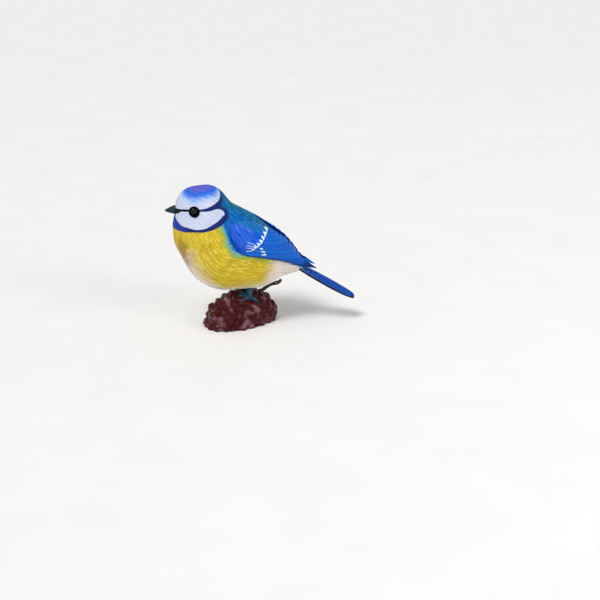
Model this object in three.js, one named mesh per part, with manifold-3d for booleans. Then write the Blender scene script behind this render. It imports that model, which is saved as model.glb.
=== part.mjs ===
// A small painted figurine of a blue tit standing on a fir cone that lies on its side.
// Millimetres, +Z up. The bill points to -X, the bird's left side is -Y, and the origin
// is the middle of the cone's flat underside.
import * as THREE from "three";
import { mergeVertices } from "three/addons/utils/BufferGeometryUtils.js";
import Module from "manifold-3d";

const wasm = await Module();
wasm.setup();

// Driving dimensions
const GAP = 0.3; // clearance between two pieces that meet
const BLEND = 2.2; // how softly the head grows out of the trunk
const LEFT = -1;
const RIGHT = 1;

// The trunk and the head are chains of balls: x and z of the centre, radius, and sideways stretch.
const TRUNK_BALLS = [
  { x: -10.1, z: 32.0, r: 12.1, wide: 0.86 },
  { x: -4.8, z: 26.6, r: 14.4, wide: 0.85 },
  { x: 3.8, z: 23.6, r: 11.2, wide: 0.92 },
  { x: 11.5, z: 22.0, r: 6.3, wide: 1.02 },
  { x: 20.5, z: 19.9, r: 1.7, wide: 1.5 },
];
const HEAD_BALLS = [
  { x: -13.8, z: 35.8, r: 7.8, wide: 1.0 },
  { x: -13.9, z: 40.2, r: 7.5, wide: 1.04 },
  { x: -11.2, z: 40.5, r: 7.5, wide: 1.04 },
];
const CHEEK = { x: -12.4, y: 2.7, z: 36.8, r: 6.0 };

const HEAD_CENTRE = { x: -13.5, z: 40 };
const TRUNK_CENTRE = { x: -3, z: 26.5 };
const NECK_FRONT = { x: -23, z: 33.0 }; // where the cut under the head meets the throat
const NECK_TILT_DEG = 20; // the cut rises this much towards the nape
const NECK_LENGTH = 4.2;

const EYE = { x: -15.2, y: 7.0, z: 40.9, r: 1.5 };
const BILL = { root: -18.6, tip: -24.6, z: 40.0, drop: 0.3, high: 1.6, wide: 1.5 };
const BILL_GAPE = 39.55; // height of the slit between the two halves of the bill
const BILL_SPLIT = 0.14; // half of that slit

const WING = { shoulder: { x: -4.2, z: 32.6 }, slopeDeg: 24.7, start: -1.6, end: 32.7 };
// The tips of the flight feathers along the wing's upper edge.
const SCALLOPS = { from: 12, to: 30, pitch: 2.67, depth: 0.45 };
// Distance along the wing, and there: its upper and lower edge, how far out it stands,
// how far in the upper edge curls as a share of that, and its thickness.
const WING_STATIONS = [
  { a: -1.6, up: 3.5, low: 3.4, out: 9.6, curl: 0.98, thick: 0.9 },
  { a: 1.1, up: 6.0, low: -1.0, out: 11.2, curl: 0.86, thick: 2.2 },
  { a: 5.5, up: 7.2, low: -3.6, out: 12.6, curl: 0.66, thick: 3.0 },
  { a: 12.4, up: 6.8, low: -2.2, out: 11.8, curl: 0.5, thick: 2.9 },
  { a: 18.6, up: 5.6, low: -1.3, out: 9.3, curl: 0.46, thick: 2.6 },
  { a: 23.0, up: 3.6, low: -0.9, out: 7.0, curl: 0.5, thick: 2.1 },
  { a: 26.6, up: 1.5, low: -0.7, out: 5.2, curl: 0.66, thick: 1.5 },
  { a: 29.6, up: 0.95, low: -0.5, out: 3.9, curl: 0.85, thick: 1.1 },
  { a: 32.7, up: 0.2, low: 0.1, out: 3.0, curl: 1.0, thick: 0.8 },
];

const TAIL = { root: { x: 16.6, z: 20.7 }, length: 25.4, slopeDeg: 30.8, thick: 2.2 };
const TAIL_HALF_WIDTHS = [2.9, 3.7, 4.3, 4.6, 4.8, 4.6, 3.3]; // evenly spaced, root to tip
const TAIL_ROOF = 0.55; // the middle feathers lie this much above the outer ones

const CONE = { long: 13.0, wide: 7.6, high: 8.8, middle: 2.2, turnDeg: 31 };
const SCALES = { rows: 9, around: 13, depth: 0.62 };
const TWIG_POINTS = [
  { x: 5.2, y: 2.4, z: 8.2, r: 0.85 },
  { x: 7.7, y: 2.5, z: 10.5, r: 0.6 },
  { x: 10.1, y: 2.4, z: 12.1, r: 0.5 },
  { x: 12.2, y: 2.2, z: 12.9, r: 0.62 },
  { x: 13.4, y: 2.1, z: 13.3, r: 0.55 },
  { x: 13.9, y: 2.0, z: 14.2, r: 0.4 },
];

const FOOT = { x: 2.6, y: 3.6, legTop: 15.5, legRadius: 1.25, toeRadius: 0.72 };
const RIGHT_FOOT_TURN_DEG = 24; // the right foot turns in, so that it stays on the cone
// Each toe: heading from straight ahead, outwards positive, and its length.
const TOES = [
  { deg: -26, length: 4.3 },
  { deg: 6, length: 4.9 },
  { deg: 38, length: 4.3 },
  { deg: 182, length: 3.8 },
];
// Along a toe, from the sole to the claw's point: how thick it is and how high it lies.
const KNUCKLES = [
  { share: 0, thick: 0.75 },
  { share: 0.3, thick: 1.0 },
  { share: 0.62, thick: 0.85 },
  { share: 0.85, thick: 0.72 },
  { share: 1, thick: 0.3 },
];

const rad = THREE.MathUtils.degToRad;

// A smooth curve through values at uneven stations.
function curveThrough(stations, key, value) {
  const curve = new THREE.CatmullRomCurve3(
    stations.map((s) => new THREE.Vector3(s[key], s[value], 0)),
    false,
    "centripetal",
  );
  const line = curve.getPoints(stations.length * 24);
  return (at) => {
    let i = 1;
    while (i < line.length - 1 && line[i].x < at) i++;
    const t = THREE.MathUtils.clamp((at - line[i - 1].x) / (line[i].x - line[i - 1].x), 0, 1);
    return THREE.MathUtils.lerp(line[i - 1].y, line[i].y, t);
  };
}

// The balls between two neighbours of a chain, closely spaced.
function fillChain(balls, steps = 14) {
  const chain = [];
  for (let i = 0; i < balls.length - 1; i++) {
    const [p, q] = [balls[i], balls[i + 1]];
    for (let s = 0; s <= steps; s++) {
      const t = s / steps;
      const mix = (key) => THREE.MathUtils.lerp(p[key], q[key], t);
      chain.push({ x: mix("x"), z: mix("z"), r: mix("r"), wide: mix("wide") });
    }
  }
  return chain;
}
const trunkChain = fillChain(TRUNK_BALLS);
const headChain = fillChain(HEAD_BALLS);

// Distance outside a chain: negative inside, zero on its surface.
function outsideChain(chain, x, y, z) {
  let least = Infinity;
  for (const b of chain) {
    const away = Math.hypot(x - b.x, y / b.wide, z - b.z) - b.r;
    if (away < least) least = away;
  }
  return least;
}

function softMin(a, b, k) {
  const h = Math.max(k - Math.abs(a - b), 0) / k;
  return Math.min(a, b) - (h * h * k) / 4;
}

function outsideBird(x, y, z) {
  const cheek = Math.hypot(x - CHEEK.x, Math.abs(y) - CHEEK.y, z - CHEEK.z) - CHEEK.r;
  const head = softMin(outsideChain(headChain, x, y, z), cheek, 1.4);
  return softMin(head, outsideChain(trunkChain, x, y, z), BLEND);
}

// A closed solid from a globe's grid: place(u, v) gives the point, where u runs round and v
// from pole to pole.
function globe(columns, rows, place) {
  const geometry = new THREE.SphereGeometry(1, columns, rows);
  const position = geometry.getAttribute("position");
  for (let row = 0; row <= rows; row++)
    for (let column = 0; column <= columns; column++) {
      const pole = row === 0 || row === rows;
      const p = place(pole ? 0 : (column % columns) / columns, row / rows);
      position.setXYZ(row * (columns + 1) + column, p.x, p.y, p.z);
    }
  return solidFrom(geometry);
}

function solidFrom(geometry) {
  geometry.deleteAttribute("normal");
  geometry.deleteAttribute("uv");
  const merged = mergeVertices(geometry, 1e-4);
  const triVerts = new Uint32Array(merged.index.array);
  const vertProperties = merged.attributes.position.array;
  const build = () => new wasm.Manifold(new wasm.Mesh({ numProp: 3, vertProperties, triVerts }));
  const solid = build();
  if (solid.volume() > 0) return solid;
  for (let i = 0; i < triVerts.length; i += 3)
    [triVerts[i + 1], triVerts[i + 2]] = [triVerts[i + 2], triVerts[i + 1]];
  return build();
}

// The surface where outside() is zero, seen from a point inside it.
function blob(outside, centre, columns, rows, farthest) {
  return globe(columns, rows, (u, v) => {
    const around = u * 2 * Math.PI;
    const out = new THREE.Vector3(
      Math.sin(v * Math.PI) * Math.cos(around),
      Math.cos(v * Math.PI),
      Math.sin(v * Math.PI) * Math.sin(around),
    );
    let near = 0;
    let far = farthest;
    for (let i = 0; i < 26; i++) {
      const middle = (near + far) / 2;
      const p = out.clone().multiplyScalar(middle);
      if (outside(p.x + centre.x, p.y, p.z + centre.z) < 0) near = middle;
      else far = middle;
    }
    return out.multiplyScalar(near).add(new THREE.Vector3(centre.x, 0, centre.z));
  });
}

// A bent rod with a radius at each point and round ends.
function rod(points, columns = 10, rows = 18, extra = 0) {
  const line = new THREE.CatmullRomCurve3(points.map((p) => new THREE.Vector3(p.x, p.y, p.z)));
  const frames = line.computeFrenetFrames(rows * 4, false);
  const last = points.length - 1;
  return globe(columns, rows, (u, v) => {
    const t = (1 - Math.cos(v * Math.PI)) / 2;
    const step = Math.round(t * rows * 4);
    const place = Math.min(t * last, last - 1e-6);
    const i = Math.floor(place);
    const r = THREE.MathUtils.lerp(points[i].r, points[i + 1].r, place - i) + extra;
    const round = Math.pow(Math.sin(v * Math.PI), 0.5) * r;
    const angle = u * 2 * Math.PI;
    return line
      .getPoint(step / (rows * 4))
      .addScaledVector(frames.normals[step], Math.cos(angle) * round)
      .addScaledVector(frames.binormals[step], Math.sin(angle) * round);
  });
}

function box(x0, x1, y0, y1, z0, z1) {
  const geometry = new THREE.BoxGeometry(x1 - x0, y1 - y0, z1 - z0);
  geometry.translate((x0 + x1) / 2, (y0 + y1) / 2, (z0 + z1) / 2);
  return solidFrom(geometry);
}

// All that lies above the cut through the neck, moved down along the cut's normal.
function aboveNeck(down) {
  const geometry = new THREE.BoxGeometry(120, 80, 80);
  geometry.translate(0, 0, 40);
  geometry.rotateY(-rad(NECK_TILT_DEG));
  const normal = new THREE.Vector3(-Math.sin(rad(NECK_TILT_DEG)), 0, Math.cos(rad(NECK_TILT_DEG)));
  geometry.translate(NECK_FRONT.x - normal.x * down, 0, NECK_FRONT.z - normal.z * down);
  return solidFrom(geometry);
}

const wingCurve = {};
for (const key of ["up", "low", "out", "curl", "thick"])
  wingCurve[key] = curveThrough(WING_STATIONS, "a", key);

// How far the feather tips stand past the wing's upper edge.
function scallop(a) {
  const { from, to, pitch, depth } = SCALLOPS;
  const fade = 2;
  const start = THREE.MathUtils.smoothstep(a, from, from + fade);
  const stop = THREE.MathUtils.smoothstep(a, to - fade, to);
  return depth * start * (1 - stop) * (Math.abs(Math.sin(((a - from) * Math.PI) / pitch)) - 0.6);
}

// A folded wing: a thick shell that hugs the flank, with its long feathers' tips as scallops.
function wing(side, extra = 0) {
  const slope = rad(WING.slopeDeg);
  const along = new THREE.Vector2(Math.cos(slope), -Math.sin(slope));
  const up = new THREE.Vector2(-along.y, along.x);
  const lowerCurl = 0.05;
  return globe(18, 28, (u, v) => {
    const share = (1 - Math.cos(v * Math.PI)) / 2;
    const a = THREE.MathUtils.lerp(WING.start - extra, WING.end + extra, share);
    const pole = v === 0 || v === 1;
    const ends = Math.pow(Math.sin(v * Math.PI), 0.6);
    const high = wingCurve.up(a) + extra + scallop(a);
    const low = wingCurve.low(a) - extra;
    const t = pole ? 0 : Math.cos(u * 2 * Math.PI);
    const s = Math.sin(u * 2 * Math.PI);
    const b = (high + low) / 2 + ((high - low) / 2) * t;
    const upperCurl = 1 - wingCurve.curl(a);
    const inward = upperCurl * Math.max(t, 0) ** 2 + lowerCurl * Math.min(t, 0) ** 2;
    const flat = Math.sign(s) * Math.pow(Math.abs(s), 0.55);
    const thick = wingCurve.thick(a) / 2;
    const half = ends * (thick * flat + extra * Math.sign(s));
    return new THREE.Vector3(
      WING.shoulder.x + along.x * a + up.x * b,
      side * (wingCurve.out(a) * (1 - inward) - thick + half),
      WING.shoulder.z + along.y * a + up.y * b,
    );
  });
}

// The closed tail: a slim fan of overlapping feathers, thicker in the middle.
function tail(extra = 0) {
  const slope = rad(TAIL.slopeDeg);
  const step = TAIL.length / (TAIL_HALF_WIDTHS.length - 1);
  const halfWidth = curveThrough(TAIL_HALF_WIDTHS.map((w, i) => ({ s: i * step, w })), "s", "w");
  return globe(16, 14, (u, v) => {
    const share = (1 - Math.cos(v * Math.PI)) / 2;
    const s = THREE.MathUtils.lerp(-extra, TAIL.length + extra, share);
    const ends = Math.pow(Math.sin(v * Math.PI), 0.35);
    const angle = u * 2 * Math.PI;
    const y = (halfWidth(s) + extra) * ends * Math.cos(angle);
    const roof = TAIL_ROOF * (1 - Math.abs(y) / 4);
    const thinning = 1 - 0.35 * Math.abs(Math.cos(angle));
    const lift = ends * ((TAIL.thick / 2 + extra) * Math.sin(angle) * thinning + roof);
    return new THREE.Vector3(
      TAIL.root.x + Math.cos(slope) * s + Math.sin(slope) * lift,
      y,
      TAIL.root.z - Math.sin(slope) * s + Math.cos(slope) * lift,
    );
  });
}

// The stubby bill, whole, or only its half above or below the slit.
function billHalf(upper, extra = 0) {
  const whole = globe(12, 10, (u, v) => {
    const share = (1 - Math.cos(v * Math.PI)) / 2;
    const x = THREE.MathUtils.lerp(BILL.root + extra, BILL.tip - extra * 0.5, share);
    const taper = Math.sqrt(Math.sin(v * Math.PI)) * (share < 0.5 ? 1 : 1 - 0.55 * (2 * share - 1));
    const angle = u * 2 * Math.PI;
    const wide = (BILL.wide + extra) * taper * (1 - 0.2 * share);
    const high = (BILL.high + extra) * taper * (1 - 0.25 * share);
    const middle = BILL.z - BILL.drop * share * share;
    return new THREE.Vector3(x, wide * Math.cos(angle), middle + high * Math.sin(angle));
  });
  if (upper === undefined) return whole;
  return upper
    ? whole.subtract(box(-40, 0, -5, 5, 0, BILL_GAPE + BILL_SPLIT))
    : whole.subtract(box(-40, 0, -5, 5, BILL_GAPE - BILL_SPLIT, 60));
}

// A ball sunk into the side of the head.
function eye(side, extra = 0) {
  const geometry = new THREE.SphereGeometry(EYE.r + extra, 12, 8);
  geometry.translate(EYE.x, side * (EYE.y - EYE.r * 0.45), EYE.z);
  return solidFrom(geometry);
}

// Height of the smooth cone above the floor, without its scales.
function coneTop(x, y) {
  const turn = rad(CONE.turnDeg);
  const along = x * Math.cos(turn) + y * Math.sin(turn);
  const across = -x * Math.sin(turn) + y * Math.cos(turn);
  const left = 1 - (along / CONE.long) ** 2 - (across / CONE.wide) ** 2;
  return CONE.middle + CONE.high * Math.sqrt(Math.max(left, 0));
}

// The cone: an egg on its side with rows of rounded scales, cut flat where it stands.
function cone() {
  const turn = rad(CONE.turnDeg);
  const whole = globe(36, 20, (u, v) => {
    const around = u * 2 * Math.PI;
    const lengthwise = -Math.cos(v * Math.PI);
    const ring = Math.sin(v * Math.PI);
    const row = v * SCALES.rows;
    const shift = Math.floor(row) % 2 ? 0.5 : 0;
    const inRow = row - Math.floor(row);
    const inTurn = Math.abs((u * SCALES.around + shift) % 1 - 0.5) * 2;
    const bump = Math.sin(inRow * Math.PI) * (1 - inTurn * inTurn) - 0.45;
    const grow = 1 + (SCALES.depth * bump * Math.min(ring * 2, 1)) / CONE.wide;
    const along = CONE.long * lengthwise;
    const across = CONE.wide * ring * Math.cos(around) * grow;
    return new THREE.Vector3(
      along * Math.cos(turn) - across * Math.sin(turn),
      along * Math.sin(turn) + across * Math.cos(turn),
      CONE.middle + CONE.high * ring * Math.sin(around) * grow,
    );
  });
  return whole.subtract(box(-40, 40, -40, 40, -40, 0));
}

// A foot: a short leg under the belly and four toes that grip the cone, with their claws.
function foot(side, extra = 0) {
  const [x, y] = [FOOT.x, side * FOOT.y];
  const turn = side === RIGHT ? RIGHT_FOOT_TURN_DEG : 0;
  const sole = coneTop(x, y) + FOOT.toeRadius * 0.7;
  let whole = rod(
    [
      { x: x + 0.5, y: y * 0.85, z: FOOT.legTop, r: FOOT.legRadius * 1.25 },
      { x: x + 0.2, y: y * 0.95, z: (FOOT.legTop + sole) / 2, r: FOOT.legRadius },
      { x, y, z: sole, r: FOOT.legRadius * 0.85 },
    ],
    8,
    6,
    extra,
  );
  for (const toe of TOES) {
    const heading = rad(180 - side * toe.deg + turn);
    const points = KNUCKLES.map(({ share, thick }) => {
      const px = x + Math.cos(heading) * toe.length * share;
      const py = y + Math.sin(heading) * toe.length * share;
      const r = FOOT.toeRadius * thick;
      return { x: px, y: py, z: coneTop(px, py) + r, r };
    });
    whole = whole.add(rod(points, 6, 5, extra));
  }
  return whole;
}

const PLASTIC = { metalness: 0 };
const paint = {
  cap: new THREE.MeshStandardMaterial({ ...PLASTIC, color: 0xbccbe4, roughness: 0.5 }),
  yellow: new THREE.MeshStandardMaterial({ ...PLASTIC, color: 0xd8be3a, roughness: 0.55 }),
  blue: new THREE.MeshStandardMaterial({ ...PLASTIC, color: 0x0f5cc0, roughness: 0.45 }),
  slate: new THREE.MeshStandardMaterial({ ...PLASTIC, color: 0x24323f, roughness: 0.4 }),
  black: new THREE.MeshStandardMaterial({ ...PLASTIC, color: 0x050507, roughness: 0.08 }),
  bark: new THREE.MeshStandardMaterial({ ...PLASTIC, color: 0x3a1216, roughness: 0.3 }),
};

const figurine = new THREE.Group();
figurine.name = "blue_tit_figurine";

function addPiece(name, solid, material) {
  const { numProp, numVert, vertProperties, triVerts } = solid.getMesh();
  const position = new Float32Array(numVert * 3);
  for (let i = 0; i < numVert; i++)
    position.set(vertProperties.subarray(i * numProp, i * numProp + 3), i * 3);
  const geometry = new THREE.BufferGeometry();
  geometry.setAttribute("position", new THREE.BufferAttribute(position, 3));
  geometry.setIndex(new THREE.BufferAttribute(triVerts, 1));
  geometry.computeVertexNormals();
  const mesh = new THREE.Mesh(geometry, material);
  mesh.name = name;
  figurine.add(mesh);
}

const twig = (extra = 0) => rod(TWIG_POINTS, 6, 12, extra);

// What the pieces of flesh leave room for, each grown by the gap.
const roomForHead = billHalf(undefined, GAP).add(eye(LEFT, GAP)).add(eye(RIGHT, GAP));
const roomForTrunk = wing(LEFT, GAP)
  .add(wing(RIGHT, GAP))
  .add(tail(GAP))
  .add(foot(LEFT, GAP))
  .add(foot(RIGHT, GAP));

const fromHead = blob(outsideBird, HEAD_CENTRE, 28, 16, 30);
const fromTrunk = blob(outsideBird, TRUNK_CENTRE, 36, 19, 45);
const head = fromHead.intersect(aboveNeck(0)).subtract(roomForHead);
const neck = fromTrunk
  .subtract(aboveNeck(GAP))
  .intersect(aboveNeck(NECK_LENGTH))
  .subtract(roomForTrunk);
const trunk = fromTrunk.subtract(aboveNeck(NECK_LENGTH + GAP)).subtract(roomForTrunk);

const tailOnly = tail().subtract(wing(LEFT, GAP)).subtract(wing(RIGHT, GAP));
const coneOnly = cone()
  .subtract(foot(LEFT, GAP))
  .subtract(foot(RIGHT, GAP))
  .subtract(twig(GAP));

addPiece("head", head, paint.cap);
addPiece("neck", neck, paint.yellow);
addPiece("trunk", trunk, paint.yellow);
addPiece("bill_upper", billHalf(true), paint.slate);
addPiece("bill_lower", billHalf(false), paint.slate);
addPiece("eye_left", eye(LEFT), paint.black);
addPiece("eye_right", eye(RIGHT), paint.black);
addPiece("wing_left", wing(LEFT), paint.blue);
addPiece("wing_right", wing(RIGHT), paint.blue);
addPiece("tail", tailOnly, paint.blue);
addPiece("foot_left", foot(LEFT), paint.slate);
addPiece("foot_right", foot(RIGHT), paint.slate);
addPiece("cone", coneOnly, paint.bark);
addPiece("twig", twig(), paint.bark);

export default figurine;
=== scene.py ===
"""A painted figurine of a blue tit on a fir cone: its carved feathers, paint, eyes and cone."""

import math
from types import SimpleNamespace

import bmesh
import bpy
import numpy as np
from bpy.props import FloatProperty, FloatVectorProperty, IntProperty, PointerProperty
from mathutils import Matrix, Vector


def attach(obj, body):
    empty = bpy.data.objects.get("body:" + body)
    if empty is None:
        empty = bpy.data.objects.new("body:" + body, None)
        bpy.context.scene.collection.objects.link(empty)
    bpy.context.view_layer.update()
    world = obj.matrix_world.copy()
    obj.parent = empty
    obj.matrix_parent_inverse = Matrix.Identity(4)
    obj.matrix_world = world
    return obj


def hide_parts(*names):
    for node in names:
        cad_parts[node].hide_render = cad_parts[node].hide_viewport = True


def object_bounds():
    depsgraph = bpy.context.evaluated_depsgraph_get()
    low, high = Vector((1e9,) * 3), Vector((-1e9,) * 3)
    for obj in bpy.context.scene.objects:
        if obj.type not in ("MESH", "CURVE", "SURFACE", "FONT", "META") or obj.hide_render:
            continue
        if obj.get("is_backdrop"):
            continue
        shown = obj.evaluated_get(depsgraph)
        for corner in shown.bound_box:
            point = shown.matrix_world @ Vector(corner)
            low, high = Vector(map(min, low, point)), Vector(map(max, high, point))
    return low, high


bl_info = {
    "name": "Painted blue tit figurine",
    "version": (1, 0, 0),
    "blender": (4, 5, 0),
    "location": "3D View > Sidebar > Figurine",
    "description": "Carved plumage, painted markings, glossy eyes and a fir cone for a small moulded bird",
    "category": "Add Mesh",
}

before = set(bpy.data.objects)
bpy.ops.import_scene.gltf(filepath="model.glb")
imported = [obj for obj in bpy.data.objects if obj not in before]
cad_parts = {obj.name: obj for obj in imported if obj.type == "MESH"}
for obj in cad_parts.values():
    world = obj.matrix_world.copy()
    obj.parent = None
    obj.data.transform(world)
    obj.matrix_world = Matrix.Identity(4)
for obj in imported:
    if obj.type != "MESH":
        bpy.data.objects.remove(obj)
CAD_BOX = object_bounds()
MM = 0.001

# The smooth body, in millimetres: chains of balls, with x and z of the centre, radius and
# sideways stretch.
TRUNK_BALLS = [
    (-10.1, 32.0, 12.1, 0.86),
    (-4.8, 26.6, 14.4, 0.85),
    (3.8, 23.6, 11.2, 0.92),
    (11.5, 22.0, 6.3, 1.02),
    (20.5, 19.9, 1.7, 1.5),
]
HEAD_BALLS = [(-13.8, 35.8, 7.8, 1.0), (-13.9, 40.2, 7.5, 1.04), (-11.2, 40.5, 7.5, 1.04)]
CHEEK = (-12.4, 2.7, 36.8, 6.0)
CHEEK_BLEND, NECK_BLEND = 1.4, 2.2
BODY_HEART = np.array([-7.0, 0.0, 30.5])
HEAD_HEART = np.array([-13.0, 0.0, 39.0])
HEAD_RADIUS = 8.3
ROUGH_ROWS, ROUGH_COLUMNS = 90, 150

# The line that the body's feathers lie along, from before the bill to the tail: x and z,
# and how softly one stretch of it gives way to the next.
LIE = [(-23, 41.5), (-16, 39.5), (-11.5, 36), (-7, 30), (0, 25.5), (10, 22.3), (26, 18.2)]
LIE_STEPS, LIE_STRIDE, LIE_BLEND = 40, 4, 25
# Millimetres across the strokes for each radian round the body, and what sets its two sides apart.
ACROSS_PER_RADIAN, SIDES_APART = 9.0, 1.5

EYE = {"x": -15.2, "y": 6.325, "z": 40.9, "r": 1.5}
BILL = {"root": -18.6, "tip": -24.6, "z": 40.0, "drop": 0.3, "high": 1.6, "wide": 1.5, "gape": 39.55}
BILL_GAP, GAPE_SLOPE = 0.07, 0.04
NOSTRIL = (-21.7, 40.75)
BARE_AT_BILL = np.array([-21.2, 0, 40.0])

# The folded wing: distance along it, upper and lower edge, how far out it stands, how far
# its upper edge curls in, and its thickness.
WING = {"x": -4.2, "z": 32.6, "slope": math.radians(24.7), "start": -1.6, "end": 32.7}
WING_STATIONS = np.array(
    [
        (-1.6, 3.5, 3.4, 9.6, 0.98, 0.9),
        (1.1, 6.0, -1.0, 11.2, 0.86, 2.2),
        (5.5, 7.2, -3.6, 12.6, 0.66, 3.0),
        (12.4, 6.8, -2.2, 11.8, 0.5, 2.9),
        (18.6, 5.6, -1.3, 9.3, 0.46, 2.6),
        (23.0, 3.6, -0.9, 7.0, 0.5, 2.1),
        (26.6, 1.5, -0.7, 5.2, 0.66, 1.5),
        (29.6, 0.95, -0.5, 3.9, 0.85, 1.1),
        (32.7, 0.2, 0.1, 3.0, 1.0, 0.8),
    ]
)
HIGH, LOW, OUT, CURL, THICK = 1, 2, 3, 4, 5
# Where along the wing its upper edge is scalloped, and how the feathers on it lean.
SCALLOP_FROM, SCALLOP_TO, SCALLOP_FADE = 12.2, 30.0, 2
FEATHER_SWEEP = 0.25
COVERT_TURN = math.radians(32)
COVERT_LEAN = (0.97, 0.25)

TAIL = {"x": 16.6, "z": 20.7, "length": 25.4, "slope": math.radians(30.8), "thick": 2.2, "roof": 0.55}
TAIL_HALF_WIDTHS = [2.9, 3.7, 4.3, 4.6, 4.8, 4.6, 3.3]
TAIL_FEATHERS = 5.2
TAIL_SPLIT_FROM, TAIL_SPLIT_DEPTH = 2.2, 0.8

# The cone's half sizes, its middle's height and its turn; the twig's points with their radii.
CONE = {"long": 13.0, "wide": 7.6, "high": 8.8, "middle": 2.2, "turn": math.radians(31)}
# How far inside the cone's outline its scales' roots and its core lie: long, wide and high.
SCALE_ROOTS, CORE_INSET = (1.1, 0.95, 0.95), (1.3, 1.25, 1.25)
CONE_FLAT = 0.35
SPIRAL_STEP = math.radians(137.508)
TWIG_POINTS = [
    (5.2, 2.4, 8.2, 0.85),
    (7.7, 2.5, 10.5, 0.6),
    (10.1, 2.4, 12.1, 0.5),
    (12.2, 2.2, 12.9, 0.62),
    (13.4, 2.1, 13.3, 0.55),
    (13.9, 2.0, 14.2, 0.4),
]
FOOT = {"x": 2.6, "y": 3.6, "leg_top": 15.5, "leg": 1.25, "toe": 0.72, "grain": 0.12}
RIGHT_FOOT_TURN = 24
TOES = [(-26, 4.3), (6, 4.9), (38, 4.3), (182, 3.8)]
# Shares of a toe's reach and of its thickness, from its root to its tip.
TOE = [(0, 0.8), (0.22, 0.82), (0.36, 0.98), (0.5, 0.78), (0.64, 0.9), (0.78, 0.66), (0.84, 0.5)]
CLAW = [(0.74, 0.5), (0.84, 0.5), (0.93, 0.38), (1.0, 0.2), (1.02, 0.1)]
CLAW_SINK = 0.2
SHIN_RINGS, TOE_RINGS = 0.62, 0.6

# Painted outlines on the head, as degrees round from the bill and degrees up, seen from
# the head's middle.
WHITE_CROWN_EDGE = [
    *[(0, 12.5), (17, 13.5), (36, 15.5), (59, 18), (85, 19), (103, 21)],
    *[(125, 27.5), (137, 32), (148, 38.5), (162, 47), (180, 55)],
]
WHITE_CHEEK = [
    *[(29, 4), (37, 9.5), (61, 12.5), (90, 14), (112, 14), (122, 16), (131, 15)],
    *[(138, 10), (138.5, 5), (132, 1), (123, -5), (110, -12), (97, -18)],
    *[(80, -21), (63, -20), (44, -18), (29, -12), (17, -6), (15, 0)],
]
COLLAR_EDGE = [
    *[(0, -27), (15, -27), (35, -27.5), (56, -27.5), (78, -25.5), (89, -24.5), (101, -22)],
    *[(114, -17.5), (128, -10.5), (138, -4), (145, 3), (152, 12), (160, 20), (170, 27), (180, 30)],
]
# The middle and half sizes of the blue cap from above, and its lowest place.
CAP = {"x": -12.9, "long": 6.6, "wide": 7.2, "above": 43}
LID_RADIUS = 1.78
# The blue back and rump, seen from the side: x and z.
BLUE_BACK = [
    *[(-9.0, 46.0), (-8.2, 40.0), (-6.2, 37.0), (-5.0, 34.5), (-4.1, 31.2)],
    *[(-2.6, 28.6), (-0.5, 27.3), (3.0, 27.0), (8.0, 25.8), (14.0, 23.6)],
    *[(18.0, 20.9), (27.0, 17.0), (28.0, 24.0), (10.0, 40.0), (0.0, 46.0)],
]
# Painted on the wing, as distance along it and height on it.
WING_BAR = [(11.2, 7.9), (11.0, 6.3), (10.6, 4.8), (9.9, 2.4), (8.9, 0.4), (8.0, -0.8), (6.8, -1.5)]
WING_RAYS = [((6.1, 0.5), (9.0, 0.9)), ((6.2, -0.4), (8.2, 0.2)), ((5.9, 1.6), (8.2, 1.7))]
WING_DASHES = [((10.3, 1.1), (11.2, 1.2)), ((11.2, 0.2), (12.3, 0.45)), ((11.9, -0.9), (13.1, -0.3))]
RAY_WIDTH, BAR_TOOTH = 0.17, 1.25

# Second paints over the main ones that the settings hold; some of them are painted shade in grooves, painted
# highlights on raised carving and painted light on the wings' inner faces.
TINTS = {
    "ochre": "C8A622",
    "lemon": "E4D456",
    "pink cream": "E2D6D2",
    "tan": "B88A3A",
    "butter": "EFE07A",
    "chalk": "F6F0EA",
    "olive": "8A7618",
    "dust": "A89C8C",
    "leaf": "82A848",
    "sea": "5FA6B4",
    "kingfisher": "1C8AC8",
    "turquoise": "2FA0DC",
    "deep blue": "04407C",
    "ink blue": "3548A8",
    "snow": "DADFEE",
    "lavender": "C8CEEA",
    "ice": "8DBEF2",
    "violet": "7C7CD4",
    "plum blue": "2A3AA4",
    "pewter": "98A2BE",
    "soot": "07080C",
    "royal": "0656CA",
    "harbour": "0468AE",
    "cornflower": "3F8FE2",
    "night blue": "0A2F8E",
    "cobalt": "06309C",
    "bright blue": "0A68D4",
    "azure": "187CE2",
    "pale edge": "7FBCF2",
    "lilac": "B9C4F0",
    "inner blue": "1C74DC",
    "tail blue": "0C58BE",
    "tail shade": "0C3F94",
    "frost": "BFE0F6",
    "steel": "24404E",
    "tar": "0B1016",
    "midnight": "0A0D18",
    "wet slate": "163850",
    "crease": "0E2233",
    "worn claw": "1C2C4C",
    "ox blood": "560D12",
    "peat": "221B18",
    "moss": "6F6A3C",
    "paper": "F9F9F8",
}

# The bake's map: how much of it runs round a piece, the margin before that, and the length
# that each piece has on it.
ROOM_WIDE, ROOM_EDGE = 0.8, 0.02
SKIN_ROOM, WING_ROOM, TAIL_ROOM, CONE_ROOM = 62, 36, 28, 28
CONE_GRAIN, QUICK_CONE_GRAIN, QUICK_SKIN = 0.17, 0.3, 2.2

# The picture: its half width, and where the figurine's foot stands on it, in its own elements.
PICTURE_HALF = 300
BIRD_RIGHT, BIRD_DOWN = 241, 322
FLOOR_HALF = 15000


def linear(code):
    """A colour's red, green and blue shares in linear light, and its alpha."""
    shares = [int(code[i : i + 2], 16) / 255 for i in (0, 2, 4)]
    return tuple(s / 12.92 if s <= 0.04045 else ((s + 0.055) / 1.055) ** 2.4 for s in shares) + (1.0,)


def size(label, text, default):
    return FloatProperty(name=label, description=text, default=default, min=0.0, max=100.0, unit="LENGTH")


def share(label, text, default):
    return FloatProperty(name=label, description=text, default=default, min=0.0, max=1.0, subtype="FACTOR")


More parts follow.
